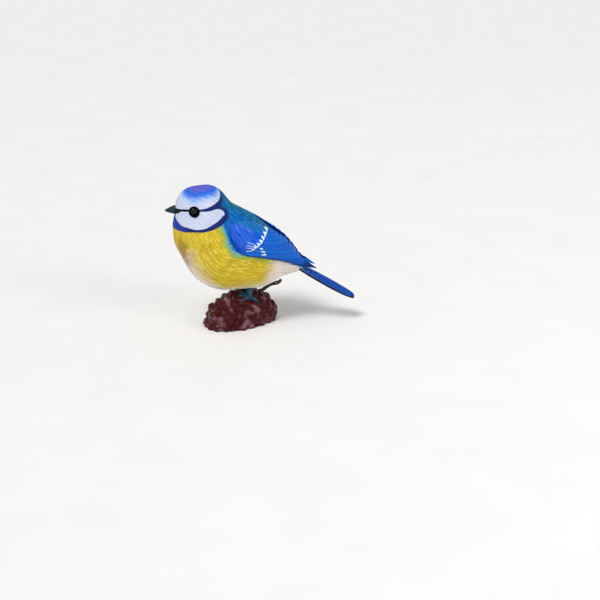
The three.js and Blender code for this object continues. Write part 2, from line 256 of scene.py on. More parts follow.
def whole(label, text, default, least, most):
    return IntProperty(name=label, description=text, default=default, min=least, max=most)


def angle(label, text, degrees):
    return FloatProperty(name=label, description=text, default=math.radians(degrees), subtype="ANGLE")


def colour(label, text, code):
    return FloatVectorProperty(
        name=label, description=text, default=linear(code), size=4, min=0.0, max=1.0, subtype="COLOR"
    )


class PlumageSettings(bpy.types.PropertyGroup):
    """Head, neck and trunk."""

    grain: size("Grain", "Edge of one face of the carved skin", 0.232 * MM)
    inset: size("Inset", "How far the skin lies inside the smooth body before it is carved", 0.2 * MM)
    feather_depth: size("Feather depth", "How far a carved body feather stands up", 0.3 * MM)
    feather_length: size("Feather length", "Length of a carved body feather", 2.3 * MM)
    feather_width: size("Feather width", "Width of a carved body feather", 0.48 * MM)
    yellow: colour("Yellow", "Breast and flanks", "D6BC2C")
    cream: colour("Cream", "Lower belly and under the tail", "F1E9DD")
    white: colour("White", "Cheeks and crown ring", "C6CEE6")
    navy: colour("Navy", "Collar and stripe", "13235E")
    indigo: colour("Indigo", "Bib at the throat", "1E3A98")
    cap: colour("Cap", "Edge of the blue cap", "2E6BE0")
    cap_middle: colour("Cap middle", "Violet middle of the cap", "5C5EC8")
    mantle: colour("Mantle", "Blue of the back", "0262B6")
    teal: colour("Teal", "Green shade along the top of the back", "046A88")
    streak: colour("Streak", "Brown streak down the breast", "5A3812")


class WingSettings(bpy.types.PropertyGroup):
    """Both folded wings."""

    feather_pitch: size("Feather pitch", "Distance between two flight feathers' tips", 1.95 * MM)
    feather_depth: size("Feather depth", "Step from one flight feather down to the next", 0.4 * MM)
    bar_width: size("Bar width", "Half of the width of the white bar", 0.2 * MM)
    blue: colour("Blue", "Flight feathers", "0156C0")
    # Shoulder: violet on the raised strokes of the shoulder, partly their own colour and partly a painted
    # highlight.
    shoulder: colour("Shoulder", "Lighter violet strokes on the shoulder", "5A7BE8")
    # Edge: dark paint along the lower edge, shoulder and tip, and also painted shade in the grooves between
    # the feathers.
    edge: colour("Edge", "Dark paint along the edges and in the grooves", "0B1C52")
    white: colour("White", "Wing bar", "E4F0FB")


class TailSettings(bpy.types.PropertyGroup):
    """The closed tail."""

    feather_depth: size("Feather depth", "Step from one tail feather down to the next", 0.36 * MM)
    blue: colour("Blue", "Upper side", "063E98")
    # Light: painted highlight on the raised edges of the tail feathers.
    light: colour("Light", "Dry-brushed edges", "4A90DC")
    # Under: the darker underside, and painted shade in the grooves between the tail feathers.
    under: colour("Under", "Underside and edges", "0A0F22")


class BillSettings(bpy.types.PropertyGroup):
    """Bill, eyes and feet."""

    horn: colour("Horn", "Bill", "14222E")
    black: colour("Black", "Eyes", "040406")
    slate: colour("Slate", "Legs and toes", "1C4E68")
    claw: colour("Claw", "Claws", "0C1326")
    eye_roughness: share("Eye roughness", "How soft the eyes' reflections are", 0.07)


class ConeSettings(bpy.types.PropertyGroup):
    """The fir cone and its twig."""

    scales: whole("Scales", "Number of scales on the cone", 160, 10, 2000)
    scale_size: size("Scale size", "Width of a scale", 3.9 * MM)
    seed: whole("Seed", "Fixes the scales' random sizes", 4, 0, 999)
    bark: colour("Bark", "Dark glossy scales", "3E080C")
    # Deep: painted shade between the scales.
    deep: colour("Deep", "Between the scales", "120203")
    # The next colour is a pinkish painted highlight on the proudest scales' tips.
    tip_highlight: colour("Tip highlight", "Pinkish paint on the scales' tips", "A77F93")
    twig: colour("Twig", "Twig and its bud", "4A4038")


class StageSettings(bpy.types.PropertyGroup):
    """Floor, light and camera."""

    floor: colour("Floor", "Pale floor", "F7F6F5")
    turn: angle("Turn", "Camera's turn about the bird", -6)
    lift: angle("Lift", "Camera's height as an angle", 18)
    view: angle("View", "Angle that the picture takes in", 24)
    pixel: size("Pixel", "Size of a picture element at the bird", 0.34 * MM)


# Curves, noise and outlines


def through(points, steps=24):
    """Points along a centripetal Catmull-Rom curve."""
    p = np.asarray(points, float)
    p = np.vstack([2 * p[0] - p[1], p, 2 * p[-1] - p[-2]])
    line = [p[1]]
    for i in range(1, len(p) - 2):
        gaps = [max(np.linalg.norm(p[i + k] - p[i + k - 1]) ** 0.5, 1e-6) for k in range(3)]
        first = (p[i] - p[i - 1]) / gaps[0] - (p[i + 1] - p[i - 1]) / (gaps[0] + gaps[1])
        first = (first + (p[i + 1] - p[i]) / gaps[1]) * gaps[1]
        second = (p[i + 1] - p[i]) / gaps[1] - (p[i + 2] - p[i]) / (gaps[1] + gaps[2])
        second = (second + (p[i + 2] - p[i + 1]) / gaps[2]) * gaps[1]
        for t in np.linspace(0, 1, steps + 1)[1:]:
            a = 2 * p[i] - 2 * p[i + 1] + first + second
            b = -3 * p[i] + 3 * p[i + 1] - 2 * first - second
            line.append(p[i] + first * t + b * t**2 + a * t**3)
    return np.array(line)


def curve_at(knots, at):
    line = through(knots)
    return np.interp(at, line[:, 0], line[:, 1])


def smooth(low, high, value):
    """From 0 at low to 1 at high, eased; low may be the larger."""
    t = np.clip((value - low) / (high - low), 0, 1)
    return t * t * (3 - 2 * t)


def turned(x, y, by):
    """A place after a turn about the origin."""
    c, s = math.cos(by), math.sin(by)
    return x * c - y * s, x * s + y * c


def scatter(cells, seed):
    """A fixed random number from 0 to 1 for each row of whole numbers."""
    n = np.full(cells.shape[0], seed * 374761393 % 2147483647, np.int64)
    for column, prime in enumerate((668265263, 2246822519, 3266489917)[: cells.shape[1]]):
        n = (n ^ (cells[:, column].astype(np.int64) * prime)) & 0xFFFFFFFF
        n = (n * 1274126177) & 0xFFFFFFFF
        n ^= n >> 15
    return n / 4294967295.0


def cloud(points, pitch, seed):
    """Smooth noise from -1 to 1."""
    p = np.asarray(points, float) / pitch
    cell = np.floor(p).astype(np.int64)
    f = p - cell
    f = f * f * (3 - 2 * f)
    total = np.zeros(len(p))
    for corner in np.ndindex(*([2] * p.shape[1])):
        weight = np.prod(np.where(np.array(corner) == 1, f, 1 - f), axis=1)
        total += weight * scatter(cell + np.array(corner), seed)
    return total * 2 - 1


def outline_distance(loop, x, y, closed=True):
    """Distance from a drawn outline, positive inside it when it is closed."""
    line = np.asarray(loop, float)
    if closed:
        line = np.vstack([line, line[:1]])
    least = np.full(len(x), 1e9)
    inside = np.zeros(len(x), bool)
    for (x0, y0), (x1, y1) in zip(line[:-1], line[1:]):
        dx, dy = x1 - x0, y1 - y0
        t = np.clip(((x - x0) * dx + (y - y0) * dy) / (dx * dx + dy * dy + 1e-12), 0, 1)
        least = np.minimum(least, np.hypot(x - x0 - t * dx, y - y0 - t * dy))
        if closed and dy != 0:
            inside ^= ((y0 > y) != (y1 > y)) & (x < dx * (y - y0) / dy + x0)
    return np.where(inside, least, -least) if closed else least


def carve(along, across, length, width, seed):
    """Overlapping carved strokes, in staggered rows: their height, and a random tone for each."""
    blunt = 0.55
    row0 = np.floor(across / width)
    height = np.zeros(len(along))
    tone = np.zeros(len(along))
    for row in (row0 - 1, row0, row0 + 1):
        slide = scatter(np.column_stack([row, row * 0 + 7]), seed) * length
        cell0 = np.floor((along + slide) / length)
        for cell in (cell0 - 1, cell0):
            cells = np.column_stack([row, cell])
            jitter, stretch, shift, shade = (scatter(cells, seed + extra) for extra in (1, 2, 3, 4))
            start = cell * length - slide + (jitter - 0.5) * 0.35 * length
            u = (along - start) / (length * (1.15 + 0.5 * stretch))
            middle = (row + 0.5 + 0.3 * (shift - 0.5)) * width
            middle = middle + 0.2 * width * np.sin(along * 1.8 / length + 6.3 * jitter)
            half = 0.78 * width * np.where(u > blunt, np.sqrt(np.clip((1 - u) / (1 - blunt), 0, 1)), 1)
            v = (across - middle) / np.maximum(half, 1e-6)
            lift = (0.5 + 0.5 * u) * (1 - 0.8 * v * v) * (0.75 + 0.25 * jitter)
            better = (u > 0) & (u < 1) & (np.abs(v) < 1) & (lift > height)
            height = np.where(better, lift, height)
            tone = np.where(better, shade, tone)
    return height, tone


# Meshes


def ball_points(rows, columns):
    """A grid of points on a ball of radius 1, with its poles on Y."""
    v = np.pi * np.arange(rows + 1) / rows
    u = 2 * np.pi * np.arange(columns) / columns
    v, u = np.meshgrid(v, u, indexing="ij")
    return np.stack([np.sin(v) * np.cos(u), np.cos(v), np.sin(v) * np.sin(u)], -1).reshape(-1, 3)


def tube_grid(rows, columns):
    """For each point of a grid, its row's place from 0 to 1 and its angle round."""
    v, u = np.meshgrid(np.arange(rows + 1) / rows, np.arange(columns) / columns, indexing="ij")
    return v.ravel(), u.ravel() * 2 * np.pi


def tube_faces(rows, columns):
    """Faces of a grid of points whose columns are joined round."""
    r, c = np.meshgrid(np.arange(rows - 1) * columns, np.arange(columns), indexing="ij")
    after = (c + 1) % columns
    return np.stack([r + c, r + after, r + columns + after, r + columns + c], -1).reshape(-1, 4)


def add_piece(name, points, faces, material=None, values=None, room=None):
    """A mesh object from points in millimetres, with its painted values as attributes."""
    mesh = bpy.data.meshes.new(name)
    mesh.from_pydata((np.asarray(points, float) * MM).tolist(), [], np.asarray(faces).tolist())
    mesh.polygons.foreach_set("use_smooth", np.ones(len(mesh.polygons), bool))
    for key, value in (values or {}).items():
        layer = mesh.attributes.new(key, "FLOAT", "POINT")
        layer.data.foreach_set("value", np.asarray(value, np.float32))
    if room is not None:
        add_room(mesh, *room)
    if material is not None:
        mesh.materials.append(material)
    mesh.validate()
    piece = bpy.data.objects.new(name, mesh)
    bpy.context.collection.objects.link(piece)
    return piece


def add_room(mesh, around, way):
    """The bake's map: each point's share of the way round, mended where it starts again, and along."""
    corners = np.zeros(len(mesh.loops), np.int32)
    mesh.loops.foreach_get("vertex_index", corners)
    uv = np.column_stack([around * ROOM_WIDE + ROOM_EDGE, way]).astype(np.float32)[corners]
    starts = np.zeros(len(mesh.polygons), np.int32)
    totals = np.zeros(len(mesh.polygons), np.int32)
    mesh.polygons.foreach_get("loop_start", starts)
    mesh.polygons.foreach_get("loop_total", totals)
    face = np.repeat(np.arange(len(starts)), totals)
    most = np.zeros(len(starts))
    np.maximum.at(most, face, uv[:, 0])
    uv[:, 0] += np.where(most[face] - uv[:, 0] > ROOM_WIDE / 2, ROOM_WIDE, 0.0)
    mesh.uv_layers.new(name="OFBake").data.foreach_set("uv", uv.ravel())


def hand_over(piece, slot, *nodes):
    """Sets a finished piece in the frame: its body and the nodes that it stands for. The slot argument is not
    used.
    """
    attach(piece, "root")
    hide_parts(*nodes)


def turn_outwards(piece):
    """Closes doubled points and makes every face look outwards."""
    mesh = bmesh.new()
    mesh.from_mesh(piece.data)
    bmesh.ops.remove_doubles(mesh, verts=mesh.verts, dist=1e-6)
    bmesh.ops.recalc_face_normals(mesh, faces=mesh.faces)
    mesh.to_mesh(piece.data)
    mesh.free()


def read_points(mesh):
    points = np.zeros(len(mesh.vertices) * 3)
    mesh.vertices.foreach_get("co", points)
    return points.reshape(-1, 3) / MM


def take_shape(piece):
    """Points and faces of an object as its modifiers make it; the object is removed."""
    depsgraph = bpy.context.evaluated_depsgraph_get()
    mesh = bpy.data.meshes.new_from_object(piece.evaluated_get(depsgraph))
    points = read_points(mesh)
    faces = [tuple(face.vertices) for face in mesh.polygons]
    bpy.data.meshes.remove(mesh)
    remove(piece)
    return points, faces


def remove(piece):
    mesh = piece.data
    bpy.data.objects.remove(piece)
    bpy.data.meshes.remove(mesh)


def remeshed(piece, grain):
    """The same shape as one even skin; the first object is removed."""
    remesh = piece.modifiers.new("Even skin", "REMESH")
    remesh.mode = "VOXEL"
    remesh.voxel_size = grain
    return take_shape(piece)


def neighbour_mean(points, faces, rounds):
    """Evens out a closed skin, each point going half the way to its neighbours' middle."""
    faces = np.asarray(faces)
    ends = np.vstack([faces[:, [0, 1]], faces[:, [1, 2]], faces[:, [2, 3]], faces[:, [3, 0]]])
    count = np.bincount(ends[:, 0], minlength=len(points)) + np.bincount(ends[:, 1], minlength=len(points))
    for _ in range(rounds):
        total = np.zeros_like(points)
        for axis in range(3):
            total[:, axis] = np.bincount(ends[:, 0], points[ends[:, 1], axis], len(points))
            total[:, axis] += np.bincount(ends[:, 1], points[ends[:, 0], axis], len(points))
        points = points + 0.5 * (total / np.maximum(count, 1)[:, None] - points)
    return points


def shrink(piece, amount):
    """Moves each point inwards, in millimetres."""
    mesh = piece.data
    normals = np.zeros(len(mesh.vertices) * 3)
    mesh.vertex_normals.foreach_get("vector", normals)
    points = read_points(mesh) - normals.reshape(-1, 3) * np.asarray(amount)[:, None]
    mesh.vertices.foreach_set("co", (points * MM).ravel())
    mesh.update()


def rod(points, columns=24, per_step=10, rough=None):
    """A closed round rod along points that each have a radius."""
    line = through([p[:3] for p in points], per_step)
    radius = np.interp(np.linspace(0, len(points) - 1, len(line)), range(len(points)), [p[3] for p in points])
    tangent = np.gradient(line, axis=0)
    tangent /= np.linalg.norm(tangent, axis=1)[:, None]
    helper = np.array([0.0, 1.0, 0.0]) if abs(tangent[0][1]) < 0.8 else np.array([1.0, 0.0, 0.0])
    first = np.cross(tangent, helper)
    first /= np.linalg.norm(first, axis=1)[:, None]
    second = np.cross(tangent, first)
    count = len(line)
    way = np.linspace(0, 1, count)
    cap = np.sqrt(np.clip(1 - (1 - np.minimum(way, 1 - way) * count / 3).clip(0) ** 2, 0, 1))
    around = np.arange(columns) / columns * 2 * np.pi
    ring = first[:, None] * np.cos(around)[None, :, None] + second[:, None] * np.sin(around)[None, :, None]
    points = (line[:, None] + (radius * cap)[:, None, None] * ring).reshape(-1, 3)
    along = np.repeat(way, columns)
    if rough is not None:
        away = points - np.repeat(line, columns, 0)
        points = points + away * rough(along, np.tile(around, count), points)[:, None]
    return points, tube_faces(count, columns), along


def join_rods(name, rods, material):
    starts = np.cumsum([0] + [len(points) for points, _, _ in rods])
    faces = [faces + start for (_, faces, _), start in zip(rods, starts)]
    return add_piece(name, np.vstack([points for points, _, _ in rods]), np.vstack(faces), material)


# The smooth body


def fill_chain(balls, steps=14):
    rows = []
    for first, second in zip(balls, balls[1:]):
        for t in np.linspace(0, 1, steps + 1):
            rows.append(np.array(first) * (1 - t) + np.array(second) * t)
    return np.array(rows)


TRUNK_CHAIN, HEAD_CHAIN = fill_chain(TRUNK_BALLS), fill_chain(HEAD_BALLS)


def outside_chain(chain, p):
    least = np.full(len(p), 1e9)
    for x, z, r, wide in chain:
        away = np.sqrt((p[:, 0] - x) ** 2 + (p[:, 1] / wide) ** 2 + (p[:, 2] - z) ** 2) - r
        least = np.minimum(least, away)
    return least


def soft_min(a, b, k):
    h = np.maximum(k - np.abs(a - b), 0) / k
    return np.minimum(a, b) - h * h * k / 4


def outside_bird(p):
    """How far a place lies outside the smooth body."""
    x, y, z, r = CHEEK
    cheek = np.sqrt((p[:, 0] - x) ** 2 + (np.abs(p[:, 1]) - y) ** 2 + (p[:, 2] - z) ** 2) - r
    head = soft_min(outside_chain(HEAD_CHAIN, p), cheek, CHEEK_BLEND)
    return soft_min(head, outside_chain(TRUNK_CHAIN, p), NECK_BLEND)


def way_out(p, step=0.02):
    slope = np.stack([outside_bird(p + step * e) - outside_bird(p - step * e) for e in np.eye(3)], 1)
    return slope / np.maximum(np.linalg.norm(slope, axis=1), 1e-9)[:, None]


def wing_shape(a, key):
    return curve_at(WING_STATIONS[:, [0, key]], a)


def sloped(part, along, sideways, up):
    """Points given along a part that slopes down behind, to its side and up from it."""
    x, z = turned(along, up, -part["slope"])
    return np.column_stack([part["x"] + x, sideways, part["z"] + z])


def body_flow(p):
    """Along the lie of the feathers from bill to tail, in millimetres, and the angle round it."""
    axis = through(LIE, LIE_STEPS)
    travelled = np.concatenate([[0], np.cumsum(np.linalg.norm(np.diff(axis, axis=0), axis=1))])
    tangent = np.gradient(axis, axis=0)
    tangent /= np.linalg.norm(tangent, axis=1)[:, None]
    axis, tangent, travelled = (line[::LIE_STRIDE] for line in (axis, tangent, travelled))
    aways = [(p[:, 0] - x) ** 2 + (p[:, 2] - z) ** 2 for x, z in axis]
    best = np.minimum.reduce(aways)
    total, along, up = np.zeros(len(p)), np.zeros(len(p)), np.zeros(len(p))
    for away, (x, z), (tx, tz), so_far in zip(aways, axis, tangent, travelled):
        weight = np.exp((best - away) / LIE_BLEND)
        dx, dz = p[:, 0] - x, p[:, 2] - z
        total += weight
        along += weight * (so_far + dx * tx + dz * tz)
        up += weight * (dz * tx - dx * tz)
    return along / total, np.arctan2(p[:, 1], up / total)


# Shaders


class Value:
    """What a node puts out, with arithmetic on it where it is a number."""

    def __init__(self, tree, socket):
        self.tree, self.socket = tree, socket

    def _math(self, operation, first, second=0.0):
        return self.tree.node("ShaderNodeMath", {"operation": operation}, {0: first, 1: second})

    def __add__(self, other):
        return self._math("ADD", self, other)

    def __mul__(self, other):
        return self._math("MULTIPLY", self, other)

    __radd__, __rmul__ = __add__, __mul__

    def __sub__(self, other):
        return self._math("SUBTRACT", self, other)

    def __rsub__(self, other):
        return self._math("SUBTRACT", other, self)

    def __truediv__(self, other):
        return self._math("DIVIDE", self, other)

    def __rtruediv__(self, other):
        return self._math("DIVIDE", other, self)

    def most(self, other):
        return self._math("MAXIMUM", self, other)

    def root(self):
        return self._math("SQRT", self)

    def cosine(self):
        return self._math("COSINE", self)

    def sine(self):
        return self._math("SINE", self)


class Tree:
    """A node tree, and the one way in which a node comes into it."""

    def __init__(self, tree):
        self.tree = tree

    def node(self, kind, settings=None, sockets=None, out=0):
        """A new node's output: its settings are set first, then its sockets' values or links."""
        node = self.tree.nodes.new(kind)
        for key, value in (settings or {}).items():
            setattr(node, key, value)
        for key, value in (sockets or {}).items():
            if isinstance(value, Value):
                self.tree.links.new(value.socket, node.inputs[key])
            else:
                node.inputs[key].default_value = value
        return Value(self, node.outputs[out]) if len(node.outputs) else None


class Paint(Tree):
    """Builds one painted finish."""

    def __init__(self, name):
        self.material = bpy.data.materials.new(name)
        self.material.use_nodes = True
        self.material.node_tree.nodes.clear()
        self.bump = None
        super().__init__(self.material.node_tree)

    def value(self, name):
        return self.node("ShaderNodeAttribute", {"attribute_name": name}, out=2)

    def step(self, value, low, high):
        """From 0 at low to 1 at high, eased."""
        sockets = {"Value": value, "From Min": low, "From Max": high}
        return self.node("ShaderNodeMapRange", {"interpolation_type": "SMOOTHSTEP"}, sockets)

    def mix(self, amount, *colours):
        """One colour over another; each is a tint's name, a setting's colour or a node's."""
        sockets = {0: amount}
        for socket, given in zip((6, 7), colours):
            tint = linear(TINTS[given]) if isinstance(given, str) else given
            sockets[socket] = tint if isinstance(tint, Value) else tuple(tint)
        return self.node("ShaderNodeMix", {"data_type": "RGBA"}, sockets, out=2)

    def place(self, stretch=(1, 1, 1)):
        where = self.node("ShaderNodeTexCoord", out=3)
        return self.node("ShaderNodeVectorMath", {"operation": "MULTIPLY"}, {0: where, 1: stretch})

    def flow(self, along, across):
        """A place by its own lie of feathers, in millimetres."""
        sockets = {0: self.value("along") * along, 1: self.value("across") * across}
        return self.node("ShaderNodeCombineXYZ", None, sockets)

    def noise(self, where, scale, detail=3.0):
        return self.node("ShaderNodeTexNoise", None, {"Vector": where, "Scale": scale, "Detail": detail})

    def raise_by(self, height, distance, strength):
        sockets = {"Height": height, "Distance": distance * MM, "Strength": strength}
        if self.bump is not None:
            sockets["Normal"] = self.bump
        self.bump = self.node("ShaderNodeBump", None, sockets)

    def raise_grain(self):
        """The fine grain of dried paint."""
        self.raise_by(self.noise(self.place(), 2600.0, 2.0), 0.012, 0.5)

    def finish(self, base, roughness, veil, **fixed):
        """Closes the finish; veil is how much of it mirrors straight on."""
        sockets = {"Base Color": base, "Roughness": roughness, "Specular IOR Level": veil}
        if self.bump is not None:
            sockets["Normal"] = self.bump
        sockets.update({key.replace("_", " "): value for key, value in fixed.items()})
        shader = self.node("ShaderNodeBsdfPrincipled", None, sockets)
        self.node("ShaderNodeOutputMaterial", None, {"Surface": shader})
        return self.material


def brushwork(paint):
    """What breaks up every colour of the skin: its random tones and noise, the painted shade that darkens its
    grooves and the painted highlight on its raised strokes.
    """
    hatch = paint.noise(paint.flow(0.42, 2.3), 1.0, 1.0)
    carved_low = 1 - paint.step(paint.value("relief"), 0.15, 0.7)
    return SimpleNamespace(
        tone=paint.value("tone"),
        wobble=paint.noise(paint.flow(0.35, 1.6), 1.0) - 0.5,
        blotch=paint.noise(paint.place(), 260.0, 4.0),
        fine=paint.noise(paint.flow(1.2, 5.0), 1.0, 2.0),
        hatch=hatch,
        # grooves: painted shade in the carved and hatched grooves
        grooves=carved_low.most((1 - paint.step(hatch, 0.36, 0.5)) * 0.8),
        # raised: painted highlight on the raised hatch strokes
        raised=paint.step(hatch, 0.54, 0.68),
    )


def breast_colour(paint, brush, look):
    mix, step, tone, streak = paint.mix, paint.step, brush.tone, paint.value("streak")
    base = mix(step(brush.blotch, 0.35, 0.7), look.yellow, "ochre")
    base = mix(step(tone, 0.55, 1.0) * 0.5, base, "lemon")
    cream = step(paint.value("belly") + brush.wobble * 3.0 + (tone - 0.5) * 1.6, -3.4, 2.6)
    base = mix(cream, base, mix(step(tone, 0.2, 0.9), look.cream, "pink cream"))
    warm = step(streak + brush.wobble * 2.0, -4.5, -0.5) * step(brush.blotch, 0.4, 0.6)
    base = mix(warm * 0.55, base, "tan")
    base = mix(step(streak + brush.wobble * 2.4 + (tone - 0.5), -1.6, 0.9) * 0.6, base, look.streak)
    # Painted highlight: the raised strokes lightened with butter and chalk.
    base = mix(brush.raised * 0.5, base, mix(cream, "butter", "chalk"))
    # Painted shade: the grooves darkened, olive in the yellow and a greyed cream in the cream.
    return mix(brush.grooves * 0.42, base, mix(cream, "olive", "dust"))


def back_colour(paint, brush, look, base):
    """The blue back, with a green and a pale rim where it meets the yellow before the rump."""
    mix, step = paint.mix, paint.step
    back = paint.value("back") + brush.wobble * 1.1 + (brush.tone - 0.5) * 0.9
    before_rump = 1 - step(paint.value("rump"), -1.0, 0.5)
    base = mix(step(back, -2.9, -1.0) * before_rump * 0.8, base, "leaf")
    base = mix(step(back, -1.3, -0.4) * before_rump * 0.6, base, "sea")
    blue = mix(step(paint.value("ridge"), 0.15, 0.8), look.mantle, look.teal)
    blue = mix(step(brush.tone, 0.45, 1.0) * 0.35, blue, "kingfisher")
    # Painted highlight on the raised strokes of the blue back.
    blue = mix(brush.raised * 0.45, blue, "turquoise")
    # Painted shade in the grooves of the blue back.
    blue = mix(brush.grooves * 0.5, blue, "deep blue")
    return mix(step(back, -0.45, 0.35), base, blue)


def collar_colour(paint, brush, look, base):
    """Navy collar, crisp at the sides and fading at the nape away from the white."""
    mix, step, collar = paint.mix, paint.step, paint.value("collar")
    navy = mix(step(paint.value("front"), 0.2, 0.8), look.navy, look.indigo)
    navy = mix(step(brush.fine, 0.45, 0.75) * 0.5, navy, "ink blue")
    crisp = step(collar + brush.wobble * 0.3, -0.08, 0.08)
    soft = step(collar + brush.wobble * 0.9, -0.6, 0.6)
    behind = step(paint.value("behind"), 0.2, 0.6)
    near = step(paint.value("crown").most(paint.value("cheek")) + brush.wobble * 0.6, -1.9, -0.5)
    return mix(crisp * (1 - behind) + soft * behind * (0.15 + 0.85 * near), base, navy)


def head_colour(paint, brush, look, base):
    """White cheeks and crown, and the blue cap with its violet middle."""
    mix, step = paint.mix, paint.step
    white = mix(step(brush.fine, 0.35, 0.7) * 0.5, look.white, "snow")
    white = mix(step(paint.value("cheek"), -0.1, 0.1) * 0.55, white, "lavender")
    face = paint.value("crown").most(paint.value("cheek")) + brush.wobble * 0.22
    base = mix(step(face, -0.07, 0.07), base, white)
    cap = paint.value("cap") + (brush.blotch - 0.5) * 0.16 + (brush.tone - 0.5) * 0.08
    base = mix(step(cap, -0.05, 0.16) * 0.75, base, "ice")
    base = mix(step(cap, 0.02, 0.3), base, look.cap)
    middle = mix(step(brush.tone, 0.3, 1.0) * 0.6, look.cap_middle, "violet")
    base = mix(step(cap, 0.3, 0.62), base, middle)
    # Painted shade in the grooves of the cap.
    base = mix(brush.grooves * step(cap, 0.05, 0.3) * 0.45, base, "plum blue")
    # Painted shade in the grooves of the white cheeks and crown.
    pale_grooves = brush.grooves * step(face, 0.05, 0.2) * (1 - step(cap, 0.0, 0.1))
    return mix(pale_grooves * 0.4, base, "pewter")


def plumage_paint(look):
    """Head and body: markings laid over one another, as a brush would."""
    paint = Paint("plumage_paint")
    brush = brushwork(paint)
    base = back_colour(paint, brush, look, breast_colour(paint, brush, look))
    base = head_colour(paint, brush, look, collar_colour(paint, brush, look, base))
    black = paint.step(paint.value("lore").most(paint.value("lid")) + brush.wobble * 0.12, -0.06, 0.06)
    paint.raise_by(brush.hatch, 0.22, 0.7)
    paint.raise_by(paint.noise(paint.flow(0.9, 6.5), 1.0, 2.0), 0.05, 0.5)
    paint.raise_grain()
    return paint.finish(paint.mix(black, base, "soot"), 0.5 - 0.1 * black + 0.12 * brush.grooves, 0.1)


def covert_colour(paint, look, relief, tone, wobble):
    """The shoulder's strokes, violet in front and blue behind, lighter on their raised carving, which is
    partly their own colour and partly a painted highlight; with painted shade in the grooves, and darker
    below.
    """
    mix, step = paint.mix, paint.step
    shoulder = step(paint.value("shoulder") + wobble * 0.6, 0.1, 0.9)
    # strokes: raised strokes picked at random; the violet and cornflower on them are partly paint and partly
    # a painted highlight.
    strokes = step(relief, 0.35, 0.8) * step(tone, 0.15, 0.8)
    base = mix(step(paint.value("high") + wobble * 0.4, 0.35, 1.0), "royal", "harbour")
    base = mix(strokes * shoulder * 0.75, base, look.shoulder)
    base = mix(strokes * (1 - shoulder) * 0.4, base, "cornflower")
    # Painted shade in the grooves between the strokes.
    base = mix((1 - step(relief, 0.05, 0.45)) * 0.6, base, "night blue")
    return mix((1 - step(paint.value("across") + wobble, -2.4, 0.8)) * 0.55, base, "cobalt")


def flight_colour(paint, look, relief, tone, fine):
    """The flight feathers, with a painted highlight on their raised lips and painted shade in their grooves.
    """
    mix, step = paint.mix, paint.step
    base = mix(step(fine, 0.4, 0.75) * 0.55, look.blue, "bright blue")
    base = mix(step(tone, 0.5, 1.0) * 0.3, base, "azure")
    # Painted highlight on the raised lips of the flight feathers.
    base = mix(step(relief, 0.74, 0.95) * step(fine, 0.3, 0.6) * 0.75, base, "pale edge")
    # Painted shade in the grooves between the flight feathers.
    return mix((1 - step(relief, 0.0, 0.3)) * 0.8, base, look.edge)


def wing_paint(look):
    paint = Paint("wing_paint")
    mix, step, relief, tone = paint.mix, paint.step, paint.value("relief"), paint.value("tone")
    fine = paint.noise(paint.flow(0.5, 5.0), 1.0, 3.0)
    wobble = paint.noise(paint.flow(1.5, 1.5), 1.0, 2.0) - 0.5
    covert = covert_colour(paint, look, relief, tone, wobble)
    base = mix(paint.value("flight"), covert, flight_colour(paint, look, relief, tone, fine))
    base = mix(step(paint.value("dark") + wobble * 0.5, -0.25, 0.3) * 0.85, base, look.edge)
    base = mix(step(paint.value("rays") + wobble * 0.12, -0.1, 0.12) * 0.75, base, "lilac")
    bar = step(paint.value("bar") + wobble * 0.16, -0.06, 0.06)
    # Painted light: the wings' inner faces are painted a lighter blue that lifts the shade falling between
    # the wings.
    base = mix(paint.value("under"), mix(bar, base, look.white), "inner blue")
    paint.raise_by(fine, 0.05, 0.6)
    paint.raise_by(bar, 0.04, 0.6)
    paint.raise_grain()
    return paint.finish(base, 0.38 + 0.15 * step(fine, 0.3, 0.8) + 0.1 * bar, 0.12)


def tail_paint(look):
    paint = Paint("tail_paint")
    mix, step, relief = paint.mix, paint.step, paint.value("relief")
    fine = paint.noise(paint.flow(0.35, 5.0), 1.0, 3.0)
    base = mix(step(fine, 0.35, 0.7) * 0.5, look.blue, "tail blue")
    base = mix(step(paint.value("tone"), 0.4, 1.0) * 0.3, base, "tail shade")
    # Painted highlight on the raised edges of the tail feathers.
    base = mix(step(relief, 0.72, 0.95) * step(fine, 0.35, 0.6) * 0.8, base, look.light)
    # Painted shade in the grooves between the tail feathers.
    base = mix((1 - step(relief, 0.0, 0.35)) * 0.85, base, look.under)
    specks = step(paint.noise(paint.flow(1.4, 2.2), 1.0, 1.0), 0.6, 0.68)
    base = mix(specks * (1 - step(paint.value("along"), 5.0, 12.0)) * 0.9, base, "frost")
    base = mix(step(paint.value("under"), 0.35, 0.6), base, look.under)
    paint.raise_by(fine, 0.05, 0.6)
    return paint.finish(base, 0.34 + 0.16 * fine, 0.14)


def bill_paint(look):
    paint = Paint("bill_paint")
    streaks = paint.noise(paint.place((300, 1500, 1500)), 1.0, 3.0)
    base = paint.mix(paint.step(streaks, 0.35, 0.75), look.horn, "steel")
    base = paint.mix(paint.step(paint.value("dark"), 0.3, 0.8), base, "tar")
    paint.raise_by(streaks, 0.05, 0.5)
    return paint.finish(base, 0.3 + 0.2 * streaks, 0.25)


def eye_paint(look):
    paint = Paint("eye_gloss")
    cloudy = paint.noise(paint.place(), 900.0, 2.0)
    base = paint.mix(paint.step(cloudy, 0.4, 0.8), look.black, "midnight")
    return paint.finish(base, look.eye_roughness, 0.2, Coat_Weight=0.12, Coat_Roughness=0.03)


